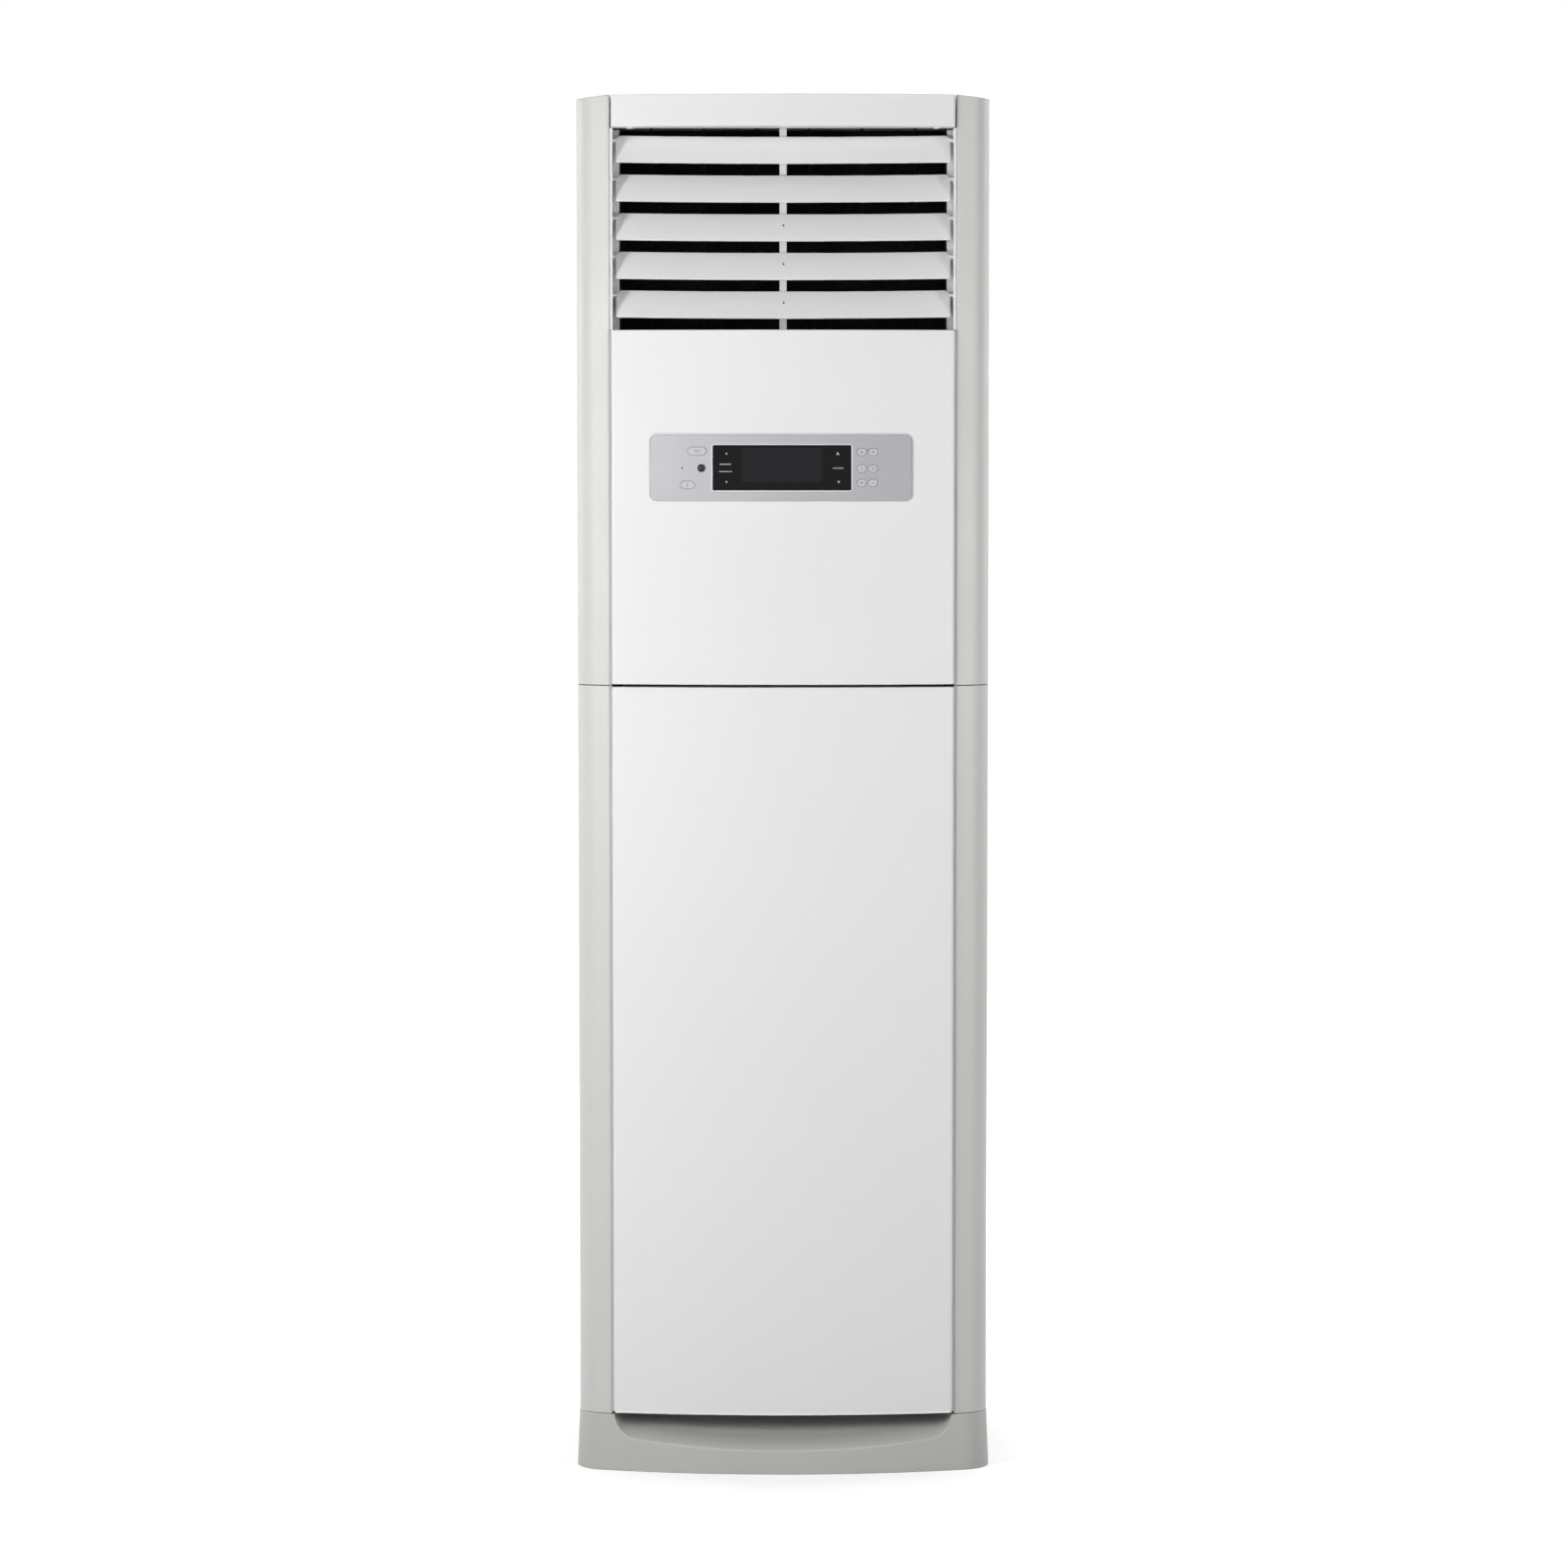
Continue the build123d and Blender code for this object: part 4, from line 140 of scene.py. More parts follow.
class Finish(Nodes):
    """A material made of one principled shader."""

    def __init__(self, name):
        self.material = bpy.data.materials.new(name)
        self.material.use_nodes = True
        super().__init__(self.material.node_tree)
        self.output = self.add("ShaderNodeOutputMaterial")
        self.shader = self.add("ShaderNodeBsdfPrincipled")
        self.put(self.output.inputs["Surface"], self.shader.outputs["BSDF"])
        self.coords = self.add("ShaderNodeTexCoord").outputs["Object"]
        self.axes = None
        self.rounded = None

    def feed(self, name, value):
        """Give one of the shader's sockets its source or its value."""
        self.put(self.shader.inputs[name], value)

    def source(self, name):
        return self.shader.inputs[name].links[0].from_socket

    def place(self, axis, folded=False):
        """A coordinate of the surface, or with folded its distance from the middle plane."""
        if self.axes is None:
            split = self.add("ShaderNodeSeparateXYZ")
            self.put(split.inputs["Vector"], self.coords)
            self.axes = split.outputs
        return self.math("ABSOLUTE", self.axes[axis]) if folded else self.axes[axis]

    def over(self, axis, limit):
        return self.math("GREATER_THAN", self.place(axis), limit)

    def under(self, axis, limit, folded=False):
        return self.math("LESS_THAN", self.place(axis, folded), limit)

    def stripes(self, axis, pitch):
        """Half waves along an axis, one for each pitch."""
        return self.math("ABSOLUTE", self.math("SINE", self.times(self.place(axis), pi / pitch)))

    def scaled(self, scale):
        mapping = self.add("ShaderNodeMapping")
        mapping.inputs["Scale"].default_value = scale
        self.put(mapping.inputs["Vector"], self.coords)
        return mapping.outputs["Vector"]

    def noise(self, scale, detail=2.0, rough=0.5, stretch=None):
        node = self.add("ShaderNodeTexNoise")
        node.inputs["Scale"].default_value = scale
        node.inputs["Detail"].default_value = detail
        node.inputs["Roughness"].default_value = rough
        self.put(node.inputs["Vector"], self.scaled(stretch) if stretch else self.coords)
        return node.outputs["Fac"]

    def ramp(self, source, low, high, out_low=0.0, out_high=1.0):
        node = self.add("ShaderNodeMapRange")
        for name, value in (
            ("Value", source),
            ("From Min", low),
            ("From Max", high),
            ("To Min", out_low),
            ("To Max", out_high),
        ):
            self.put(node.inputs[name], value)
        return node.outputs["Result"]

    def cloud(self, scale, detail, out_low=0.0, out_high=1.0):
        """Slow blotches between two values."""
        return self.ramp(self.noise(scale, detail), NOISE_LOW, NOISE_HIGH, out_low, out_high)

    def cells(self, scale):
        """Three random tones for each cell of a fine pattern."""
        pattern = self.add("ShaderNodeTexVoronoi")
        pattern.inputs["Scale"].default_value = scale
        self.put(pattern.inputs["Vector"], self.coords)
        split = self.add("ShaderNodeSeparateColor")
        self.put(split.inputs["Color"], pattern.outputs["Color"])
        return split.outputs

    def mix(self, factor, first, second):
        node = self.add("ShaderNodeMix", data_type="RGBA")
        self.put(node.inputs["Factor"], factor)
        colours = [socket for socket in node.inputs if socket.type == "RGBA"]
        for socket, value in zip(colours, (first, second)):
            self.put(socket, (*value, 1.0) if isinstance(value, tuple) else value)
        return next(socket for socket in node.outputs if socket.type == "RGBA")

    def edges(self, radius, gain):
        """Mask of the edges: how far the rounded normal leaves the face's own."""
        bevel = self.add("ShaderNodeBevel", samples=4)
        bevel.inputs["Radius"].default_value = radius
        self.rounded = bevel.outputs["Normal"]
        dot = self.add("ShaderNodeVectorMath", operation="DOT_PRODUCT")
        self.put(dot.inputs[0], self.rounded)
        self.put(dot.inputs[1], self.add("ShaderNodeNewGeometry").outputs["Normal"])
        return self.math("MULTIPLY", self.math("SUBTRACT", 1.0, dot.outputs["Value"]), gain, clamp=True)

    def bump(self, height, strength, distance):
        """Relief on top of the rounded edges, where the finish has them."""
        node = self.add("ShaderNodeBump")
        node.inputs["Strength"].default_value = strength
        node.inputs["Distance"].default_value = distance
        self.put(node.inputs["Height"], height)
        if self.rounded:
            self.put(node.inputs["Normal"], self.rounded)
        self.feed("Normal", node.outputs["Normal"])


def shade(colour, factor):
    return tuple(min(1.0, c * factor) for c in colour)


# ---------------------------------------------------------------- kinds of finish
SPECK_SCALE = 0.23              # of the grain's
SPECK_SHARE = 0.05
SPECK_TONE = 0.9
# painted shade: near black for the inside of the duct and cabinet, which is dark for want of light
SHADE_BLACK_DARK = (0.030, 0.031, 0.031)
SHADE_BLACK_PALE = (0.046, 0.047, 0.047)
SHADE_BLACK_ROUGH = 0.85


def moulded(
    name,
    colour,
    rough=0.42,
    grain=900.0,
    depth=0.04 * MM,
    vary=0.03,
    wear=0.25,
    spec=0.5,
    lift=1.12,
    round_off=1.8 * MM,
    gain=3.0,
):
    """Satin moulded plastic: fine spark texture, slow colour drift, paler worn edges; turned up strongly
    they serve as a painted highlight.
    """
    t = Finish(name)
    drift = t.cloud(scale=2.3, detail=3.0)
    body = t.mix(drift, shade(colour, 1 - vary), shade(colour, 1 + vary / 2))
    fine = t.noise(grain, detail=2.0, rough=0.6)
    speck = t.ramp(t.noise(grain * SPECK_SCALE, detail=1.0), low=0.35, high=0.65)
    toned = t.mix(t.times(speck, SPECK_SHARE), body, shade(colour, SPECK_TONE))
    patches = t.ramp(t.noise(scale=28.0, detail=3.0), low=0.35, high=0.75, out_low=0.35)
    edge_tone = t.times(t.edges(round_off, gain), patches)
    t.feed("Base Color", t.mix(t.times(edge_tone, wear), toned, shade(colour, lift)))
    smear = t.cloud(scale=7.0, detail=4.0, out_low=rough - 0.04, out_high=rough + 0.05)
    t.feed("Roughness", t.math("SUBTRACT", smear, t.times(edge_tone, 0.1)))
    t.feed("Specular IOR Level", spec)
    t.bump(fine, strength=0.35, distance=depth)
    return t


def metal(name, colour, rough, stretch=(1, 1, 60), wear=0.3, metallic=1.0):
    """Bare or plated metal with drawn lines along one axis and brighter edges."""
    t = Finish(name)
    lines = t.noise(scale=90.0, detail=3.0, rough=0.7, stretch=stretch)
    base = t.mix(t.cloud(scale=9.0, detail=4.0), shade(colour, 0.86), shade(colour, 1.06))
    edge = t.times(t.edges(radius=1.2 * MM, gain=4.0), wear)
    t.feed("Base Color", t.mix(edge, base, shade(colour, 1.3)))
    t.feed("Metallic", metallic)
    t.feed("Roughness", t.ramp(lines, NOISE_LOW, NOISE_HIGH, rough - 0.07, rough + 0.1))
    t.bump(lines, strength=0.2, distance=0.04 * MM)
    return t.material


def galvanised(name):
    """Zinc coated sheet with its crystal spangle."""
    t = Finish(name)
    tone = t.cells(scale=95.0)[0]
    t.feed("Base Color", t.mix(tone, (0.42, 0.44, 0.46), (0.62, 0.64, 0.66)))
    t.feed("Metallic", 0.9)
    t.feed("Roughness", t.ramp(tone, 0.0, 1.0, out_low=0.34, out_high=0.52))
    t.bump(t.noise(scale=240.0), strength=0.15, distance=0.06 * MM)
    return t.material


def powder_coat(name, colour):
    """Powder coated steel: orange peel and a little rubbing at the edges."""
    t = Finish(name)
    body = t.mix(t.cloud(scale=1.7, detail=3.0), shade(colour, 0.97), shade(colour, 1.02))
    patches = t.ramp(t.noise(scale=35.0, detail=3.0), low=0.4, high=0.8)
    edge_tone = t.times(t.edges(radius=1.5 * MM, gain=3.0), patches)
    t.feed("Base Color", t.mix(t.times(edge_tone, 0.4), body, shade(colour, 0.72)))
    t.feed("Roughness", t.cloud(scale=5.0, detail=4.0, out_low=0.36, out_high=0.47))
    t.bump(t.noise(scale=420.0), strength=0.4, distance=0.12 * MM)
    return t


def paint_shade_black(t, mask):
    """Turn the places of a mask into painted shade, a dull black without gloss."""
    black_shade = t.mix(t.cloud(scale=260.0, detail=3.0), SHADE_BLACK_DARK, SHADE_BLACK_PALE)
    t.feed("Base Color", t.mix(mask, t.source("Base Color"), black_shade))
    t.feed("Roughness", t.math("MAXIMUM", t.source("Roughness"), t.times(mask, SHADE_BLACK_ROUGH)))
    return t.material


# ---------------------------------------------------------------- finishes of single nodes
PANEL_WHITE = (0.820, 0.817, 0.817)
# painted highlight on the lower panel's lip
LIP_HIGHLIGHT_WHITE = (0.98, 0.98, 0.98)
COLUMN_WHITE = (0.618, 0.626, 0.600)
PLINTH_GREY = (0.505, 0.513, 0.488)
LOUVRE_WHITE = (0.820, 0.822, 0.824)
SHEET_WHITE = (0.700, 0.705, 0.690)


def outlet_finish(roof_edge=1.0 * MM, floor_edge=2.5 * MM):
    """Louvre bay: white cheeks and step, with the duct, the bay's roof and its floor painted black as
    painted shade.
    """
    t = moulded("outlet_white_and_painted_shade", LOUVRE_WHITE, rough=0.45, vary=0.02)
    behind = t.over("Y", DUCT_FRONT)
    above = t.over("Z", STRIP_BOTTOM + roof_edge)
    below = t.under("Z", PANEL_HIGH.z - floor_edge)
    # painted shade: the duct, the bay's roof and its floor turn black
    return paint_shade_black(t, t.math("MAXIMUM", behind, t.math("MAXIMUM", above, below)))


def sheet_finish(name, skin=0.6 * MM):
    """Coated sheet whose inner face is painted black above the coil deck, as painted shade."""
    t = powder_coat(name + "_coat", SHEET_WHITE)
    high = t.over("Z", SHADE_BLACK_FOOT)
    if name == "rear_panel":
        inner = t.under("Y", REAR_FACE - skin)
    else:
        inner = t.under("X", SIDE_FACE - skin, folded=True)
    return paint_shade_black(t, t.times(high, inner))


def cover_finish(rim=3.0 * MM, skin=1.2 * MM):
    """Top cover whose underside is painted black as painted shade."""
    t = moulded("cover_satin", COLUMN_WHITE, rough=0.46, vary=0.02)
    under = t.under("Z", COVER_HIGH.z - skin)
    inside = t.under("X", COVER_HIGH.x - rim, folded=True)
    front = t.over("Y", COVER_LOW.y + rim)
    back = t.under("Y", COVER_HIGH.y - rim)
    return paint_shade_black(t, t.times(t.times(under, inside), t.times(front, back)))


def plinth_finish():
    """Plinth plastic: a paler lip that is a painted highlight, and painted shade darkening towards the back
    of the finger recess.
    """
    # painted highlight: strong paler edges, so that the lip of the recess reads light
    edge_tone = {"wear": 1.0, "lift": 1.4, "round_off": 2.6 * MM, "gain": 9.0}
    t = moulded("plinth_satin", PLINTH_GREY, rough=0.5, vary=0.04, **edge_tone)
    bow = t.times(t.times(t.place("X"), t.place("X")), 0.5 / PLINTH_BOW_RADIUS)
    face = t.math("ADD", bow, t.times(t.place("Z"), PLINTH_TAPER))
    depth = t.math("SUBTRACT", t.math("SUBTRACT", t.place("Y"), face), PLINTH_FRONT)
    # painted shade: darker the deeper a place lies behind the face inside the recess
    painted_recess_shade = t.ramp(depth, low=3 * MM, high=24 * MM, out_high=0.52)
    inside = t.under("X", PANEL_HIGH.x, folded=True)
    t.feed("Base Color", t.mix(t.times(painted_recess_shade, inside), t.source("Base Color"), shade(PLINTH_GREY, 0.30)))
    return t.material


def front_panel_finish(lip_height=3.0 * MM):
    """Panel gloss with a painted highlight: a brighter lip along the lower edge."""
    t = moulded("white_panel_painted_lip_highlight", PANEL_WHITE, rough=0.42, grain=1100, vary=0.012)
    lip = t.under("Z", LOWER_LOW.z + lip_height)
    # painted highlight along the lower lip
    t.feed("Base Color", t.mix(lip, t.source("Base Color"), LIP_HIGHLIGHT_WHITE))
    return t.material


def silver_finish(margin=20 * MM):
    """Silver lacquer: fine metallic flake over a moulded base, with painted shade darkening it towards the
    right.
    """
    t = Finish("silver_lacquer")
    flake = t.cells(scale=3200.0)
    # painted shade: the lacquer darkens from left to right across the bezel
    tone = t.ramp(t.place("X"), BEZEL_LOW.x + margin, BEZEL_HIGH.x - margin)
    left = t.mix(t.cloud(scale=14.0, detail=3.0), (0.470, 0.474, 0.500), (0.510, 0.512, 0.535))
    body = t.mix(tone, left, (0.375, 0.372, 0.400))
    sparkle = t.mix(t.times(flake[0], 0.18), body, (0.70, 0.70, 0.72))
    edge = t.times(t.edges(radius=0.8 * MM, gain=4.0), 0.35)
    t.feed("Base Color", t.mix(edge, sparkle, (0.34, 0.34, 0.355)))
    t.feed("Metallic", 0.2)
    t.feed("Roughness", t.ramp(flake[1], 0.0, 1.0, out_low=0.30, out_high=0.46))
    t.bump(flake[2], strength=0.1, distance=0.02 * MM)
    return t.material


def window_finish():
    """Smoked black window: a slightly paler screen area in the middle, faint wipe marks."""
    t = Finish("smoked_window")
    inside = None
    for axis, middle, half in (
        ("X", BEZEL_MID_X + SCREEN_RIGHT, SCREEN_HALF_X),
        ("Z", BEZEL_MID_Z + SCREEN_UP, SCREEN_HALF_Z),
    ):
        away = t.math("ABSOLUTE", t.math("SUBTRACT", t.place(axis), middle))
        within = t.ramp(away, half, half + SCREEN_BLUR, out_low=1.0, out_high=0.0)
        inside = t.times(inside, within) if inside else within
    wipes = t.ramp(t.noise(scale=30.0, detail=4.0, rough=0.6, stretch=(1, 1, 4)), low=0.35, high=0.7)
    dark = t.mix(wipes, (0.0065, 0.0065, 0.0075), (0.0085, 0.0085, 0.0095))
    t.feed("Base Color", t.mix(inside, dark, (0.0155, 0.0150, 0.0180)))
    t.feed("Roughness", t.ramp(wipes, 0.0, 1.0, out_low=0.10, out_high=0.17))
    t.feed("Specular IOR Level", 0.12)
    t.bump(t.noise(scale=45.0, detail=1.0), strength=0.03, distance=0.05 * MM)
    return t.material


def fin_finish():
    """Coil block: thin fins side by side, with painted shade in the gaps between them."""
    t = Finish("coil_fin_stock")
    fin = t.ramp(t.stripes("X", FIN_PITCH), low=0.25, high=0.6)
    cloud = t.cloud(scale=12.0, detail=4.0)
    bright = t.mix(cloud, (0.36, 0.38, 0.40), (0.50, 0.52, 0.54))
    # painted shade: the gaps between the fins are painted near black
    t.feed("Base Color", t.mix(fin, (0.015, 0.015, 0.016), bright))
    t.feed("Metallic", 0.7)
    t.feed("Roughness", t.ramp(cloud, 0.0, 1.0, out_low=0.38, out_high=0.5))
    t.bump(fin, strength=0.6, distance=0.4 * MM)
    return t.material


def net_finish():
    """Woven filter net in the plane of the side wall."""
    t = Finish("filter_net_weave")
    across, along = (t.ramp(t.stripes(axis, NET_PITCH), low=0.55, high=0.85) for axis in ("Y", "Z"))
    net = t.math("MAXIMUM", across, along)
    dust = t.ramp(t.noise(scale=16.0, detail=4.0), low=0.4, high=0.75)
    thread = t.mix(dust, (0.045, 0.048, 0.054), (0.11, 0.11, 0.112))
    # painted shade: the openings between the threads are painted near black, for the dark space behind them
    t.feed("Base Color", t.mix(net, (0.006, 0.006, 0.007), thread))
    t.feed("Roughness", t.ramp(dust, 0.0, 1.0, out_low=0.6, out_high=0.85))
    t.bump(net, strength=0.7, distance=0.3 * MM)
    return t.material


def board_finish():
    """Green lacquered board with tracks."""
    t = Finish("circuit_board_tracks")
    tracks = t.add("ShaderNodeTexBrick")
    tracks.inputs["Scale"].default_value = 60.0
    tracks.inputs["Mortar Size"].default_value = 0.03
    t.put(tracks.inputs["Vector"], t.scaled((1, 1, 2.3)))
    line = tracks.outputs["Fac"]
    mottled = t.mix(t.noise(scale=40.0, detail=3.0), (0.012, 0.09, 0.035), (0.018, 0.12, 0.05))
    t.feed("Base Color", t.mix(line, mottled, (0.05, 0.22, 0.09)))
    t.feed("Roughness", t.ramp(line, 0.0, 1.0, out_low=0.28, out_high=0.4))
    t.bump(line, strength=0.4, distance=0.1 * MM)
    return t.material


def foam_finish():
    """Expanded foam tray with its bead pattern."""
    t = Finish("expanded_foam")
    beads = t.add("ShaderNodeTexVoronoi", feature="SMOOTH_F1")
    beads.inputs["Scale"].default_value = 260.0
    t.put(beads.inputs["Vector"], t.coords)
    reach = beads.outputs["Distance"]
    t.feed("Base Color", t.mix(t.ramp(reach, low=0.0, high=0.7), (0.66, 0.66, 0.64), (0.52, 0.52, 0.50)))
    t.feed("Roughness", t.cloud(scale=20.0, detail=2.0, out_low=0.72, out_high=0.85))
    t.bump(reach, strength=0.5, distance=0.4 * MM)
    return t.material


def plastic(name, colour, **look):
    return moulded(name, colour, **look).material


def print_ink(name, colour):
    return plastic(name, colour, rough=0.55, grain=1500, vary=0.04)


finish = {
    "white_panel": plastic("white_panel_gloss", PANEL_WHITE, rough=0.42, grain=1100, vary=0.012),
    "white_column": plastic("column_satin", COLUMN_WHITE, rough=0.44, vary=0.02),
    "galvanised": galvanised("galvanised_spangle"),
    "zinc": metal("zinc_plate", (0.58, 0.58, 0.56), rough=0.32, stretch=(1, 1, 1)),
    "black_plastic": plastic("black_moulded", (0.012, 0.012, 0.013), rough=0.6, wear=0.3, spec=0.15),
    "grey_plastic": plastic("grey_moulded", (0.16, 0.165, 0.17), rough=0.5, vary=0.08),
    "motor_steel": metal("motor_enamel", (0.05, 0.05, 0.055), rough=0.4, metallic=0.3),
    "shaft_steel": metal("ground_steel", (0.55, 0.55, 0.56), rough=0.22, stretch=(1, 40, 1)),
    "copper": metal("copper_tube", (0.72, 0.33, 0.19), rough=0.3, stretch=(1, 1, 8)),
    "louvre_plastic": plastic("louvre_satin", LOUVRE_WHITE, rough=0.40, vary=0.015),
    "soft_rubber": plastic("soft_rubber", (0.018, 0.018, 0.019), rough=0.75, depth=0.1 * MM, spec=0.25),
    "silver_plastic": silver_finish(),
    "plinth_plastic": plinth_finish(),
    "key_plastic": plastic("key_silver", (0.56, 0.56, 0.58), rough=0.38, grain=1500, vary=0.03),
    "black_window": window_finish(),
    "fin_stock": fin_finish(),
    "filter_net": net_finish(),
    "circuit_board": board_finish(),
    "foam": foam_finish(),
}
VANE_BLACK = plastic("vane_black", (0.006, 0.006, 0.0065), rough=0.7, wear=0.0, spec=0.05)
# white trim used as a painted highlight: the rings round the window and the bezel stand in for their bright
# edge lines
TRIM_HIGHLIGHT_WHITE = plastic("trim_white_painted_highlight", (0.86, 0.86, 0.865), rough=0.25, grain=1500, vary=0.01)
LENS_BLACK = plastic("lens_black", (0.008, 0.008, 0.010), rough=0.12, grain=600, depth=0.01 * MM, spec=0.5)
# painted highlight: paler grey for the bead along the lip of the finger recess
LIP_HIGHLIGHT_GREY = plastic("plinth_lip_painted_highlight", shade(PLINTH_GREY, 1.28), rough=0.4, vary=0.03)
PRINT_PALE = print_ink("print_pale", (0.42, 0.42, 0.43))
PRINT_WARM = print_ink("print_warm", (0.42, 0.30, 0.27))
PRINT_GREY = print_ink("print_grey", (0.20, 0.20, 0.21))
PRINT_DARK = print_ink("print_dark", (0.10, 0.10, 0.11))

OWN_FINISH = {
    "outlet_frame": outlet_finish(),
    "top_cover": cover_finish(),
    "lower_front_panel": front_panel_finish(),
}

for part in frame["record"]["subparts"]:
    node_name, slot_name = part["node"], part["material_slot"]
    if node_name in OWN_FINISH:
        look = OWN_FINISH[node_name]
    elif node_name.startswith("vane_"):
        look = VANE_BLACK
    elif slot_name == "cabinet_paint":
        look = sheet_finish(node_name)
    else:
        look = finish[slot_name]
    slots = NODES[node_name].data.materials
    slots.clear()
    slots.append(look)


# ---------------------------------------------------------------- mesh helpers
def make_piece(name, points, faces, material, body, smooth=True):
    """A mesh piece that rides on a body of the frame."""
    mesh = bpy.data.meshes.new(name)
    mesh.from_pydata([tuple(p) for p in points], [], faces)
    shell = bmesh.new()
    shell.from_mesh(mesh)
    bmesh.ops.remove_doubles(shell, verts=shell.verts, dist=1e-6)
    bmesh.ops.recalc_face_normals(shell, faces=shell.faces)
    shell.to_mesh(mesh)
    shell.free()
    for face in mesh.polygons:
        face.use_smooth = smooth
    mesh.materials.append(material)
    piece = bpy.data.objects.new(name, mesh)
    bpy.context.scene.collection.objects.link(piece)
    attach(piece, body)
    return piece


def loft(rows, count, closed=False):
    """Quads between rings of count points, and where closed from the last ring back to the first."""
    faces = []
    for row in range(rows if closed else rows - 1):
        here, there = row * count, (row + 1) % rows * count
        for step in range(count):
            nxt = (step + 1) % count
            faces.append((here + step, here + nxt, there + nxt, there + step))
    return faces


def last_cap(rows, count):
    return tuple((rows - 1) * count + step for step in range(count))


def first_cap(count):
    return tuple(reversed(range(count)))


def bow_y(x, level):
    """Y on the front's bow, a level in front of the panel's face."""
    return PANEL_LOW.y + BOW_RADIUS - sqrt((BOW_RADIUS + level) ** 2 - x * x)


def on_bow(x, z, level):
    return x, bow_y(x, level), z


def on_rear(x, z, rise, sunk=0.1 * MM):
    return x, REAR_FACE + rise - sunk, z


def rounded_loop(mid_x, mid_z, width, height, radius, steps, along):
    """Closed loop of (x, z) round a rounded rectangle, long sides divided so that they bow."""
    half_w, half_h = width / 2, height / 2
    corners = [
        (mid_x + half_w - radius, mid_z + half_h - radius, 0.0),
        (mid_x - half_w + radius, mid_z + half_h - radius, pi / 2),
        (mid_x - half_w + radius, mid_z - half_h + radius, pi),
        (mid_x + half_w - radius, mid_z - half_h + radius, 3 * pi / 2),
    ]
    loop = []
    for index, (cx, cz, start) in enumerate(corners):
        for step in range(steps + 1):
            angle = start + step / steps * pi / 2
            loop.append((cx + radius * cos(angle), cz + radius * sin(angle)))
        nx, nz, nstart = corners[(index + 1) % len(corners)]
        end = (nx + radius * cos(nstart), nz + radius * sin(nstart))
        here = loop[-1]
        if abs(end[0] - here[0]) > abs(end[1] - here[1]):
            for step in range(1, along):
                part = step / along
                loop.append((here[0] + (end[0] - here[0]) * part, here[1] + (end[1] - here[1]) * part))
    return loop


def trim_ring(name, size, radius, rows, place, material, steps=6, along=24):
    """Closed ring round a rounded rectangle. rows are (outward offset, rise) of its section."""
    mid_x, mid_z, width, height = size
    points = []
    for offset, rise in rows:
        wider = (width + 2 * offset, height + 2 * offset, radius + offset)
        points += [place(x, z, rise) for x, z in rounded_loop(mid_x, mid_z, *wider, steps, along)]
    faces = loft(len(rows), len(points) // len(rows), closed=True)
    return make_piece(name, points, faces, material, "cabinet")


def half_round(inner, outer, low, high, shoulder=0.35, steps=6):
    """Rows of a section with a rounded top between two offsets."""
    rows = [(inner, low)]
    for step in range(steps + 1):
        angle = pi - pi * step / steps
        offset = (inner + outer) / 2 + (outer - inner) / 2 * cos(angle)
        rows.append((offset, low + (high - low) * (shoulder + (1 - shoulder) * sin(angle))))
    rows.append((outer, low))
    return rows


def printed(name, loops, level, material, body):
    """Thin raised marks: each loop of (x, z) becomes a small plate on the bow."""
    points = []
    faces = []
    for loop in loops:
        base = len(points)
        count = len(loop)
        for height in (level - PRINT_SUNK, level + PRINT_PROUD):
            points += [on_bow(x, z, height) for x, z in loop]
        faces.append(tuple(base + count + i for i in range(count)))
        faces.append(tuple(base + i for i in reversed(range(count))))
        faces += [tuple(base + corner for corner in quad) for quad in loft(2, count)]
    return make_piece(name, points, faces, material, body, smooth=False)


def bar(x, z, width, height):
    return [
        (x - width / 2, z - height / 2),
        (x + width / 2, z - height / 2),
        (x + width / 2, z + height / 2),
        (x - width / 2, z + height / 2),
    ]


def triangle(x, z, size, up=True):
    tip = size * 0.6 if up else -size * 0.6
    foot = -size * 0.4 if up else size * 0.4
    loop = [(x - size * 0.6, z + foot), (x + size * 0.6, z + foot), (x, z + tip)]
    return loop if up else loop[::-1]


def domed(name, place, radius, height, material, body, rings=6, count=32):
    """Disc with a domed front. place turns (sideways, up, rise) into a point."""
    points = []
    for ring in range(rings + 1):
        angle = pi / 2 * ring / rings
        for step in range(count):
            turn = 2 * pi * step / count
            reach = radius * cos(angle)
            points.append(place(reach * cos(turn), reach * sin(turn), height * sin(angle)))
    faces = loft(rings + 1, count) + [first_cap(count)]
    return make_piece(name, points, faces, material, body)


# ---------------------------------------------------------------- display trim
BEZEL_CORNER = 9.0 * MM
WINDOW_CORNER = 1.5 * MM

# painted highlight: thin white rings for the bright edge lines round the window and the bezel
trim_ring("window_trim", WINDOW, WINDOW_CORNER, half_round(0.2 * MM, 1.9 * MM, 2.0 * MM, 3.0 * MM), on_bow,
          TRIM_HIGHLIGHT_WHITE)
trim_ring("bezel_surround", BEZEL, BEZEL_CORNER, half_round(0.5 * MM, 2.6 * MM, -0.4 * MM, 1.0 * MM), on_bow,
          TRIM_HIGHLIGHT_WHITE)


def lens(name, left_of_middle, radius, level, height, material):
    """Domed lens at the display's left, a little under its middle line."""
    x, z = BEZEL_MID_X - left_of_middle, BEZEL_MID_Z - 0.5 * MM
    domed(name, lambda u, v, rise: on_bow(x + u, z + v, level + rise), radius, height, material, "cabinet")


lens("receiver_lens", 104.6 * MM, radius=5.2 * MM, level=0.9 * MM, height=1.2 * MM, material=LENS_BLACK)
lens("lamp_lens", 130.0 * MM, radius=1.15 * MM, level=1.2 * MM, height=1.0 * MM, material=PRINT_DARK)


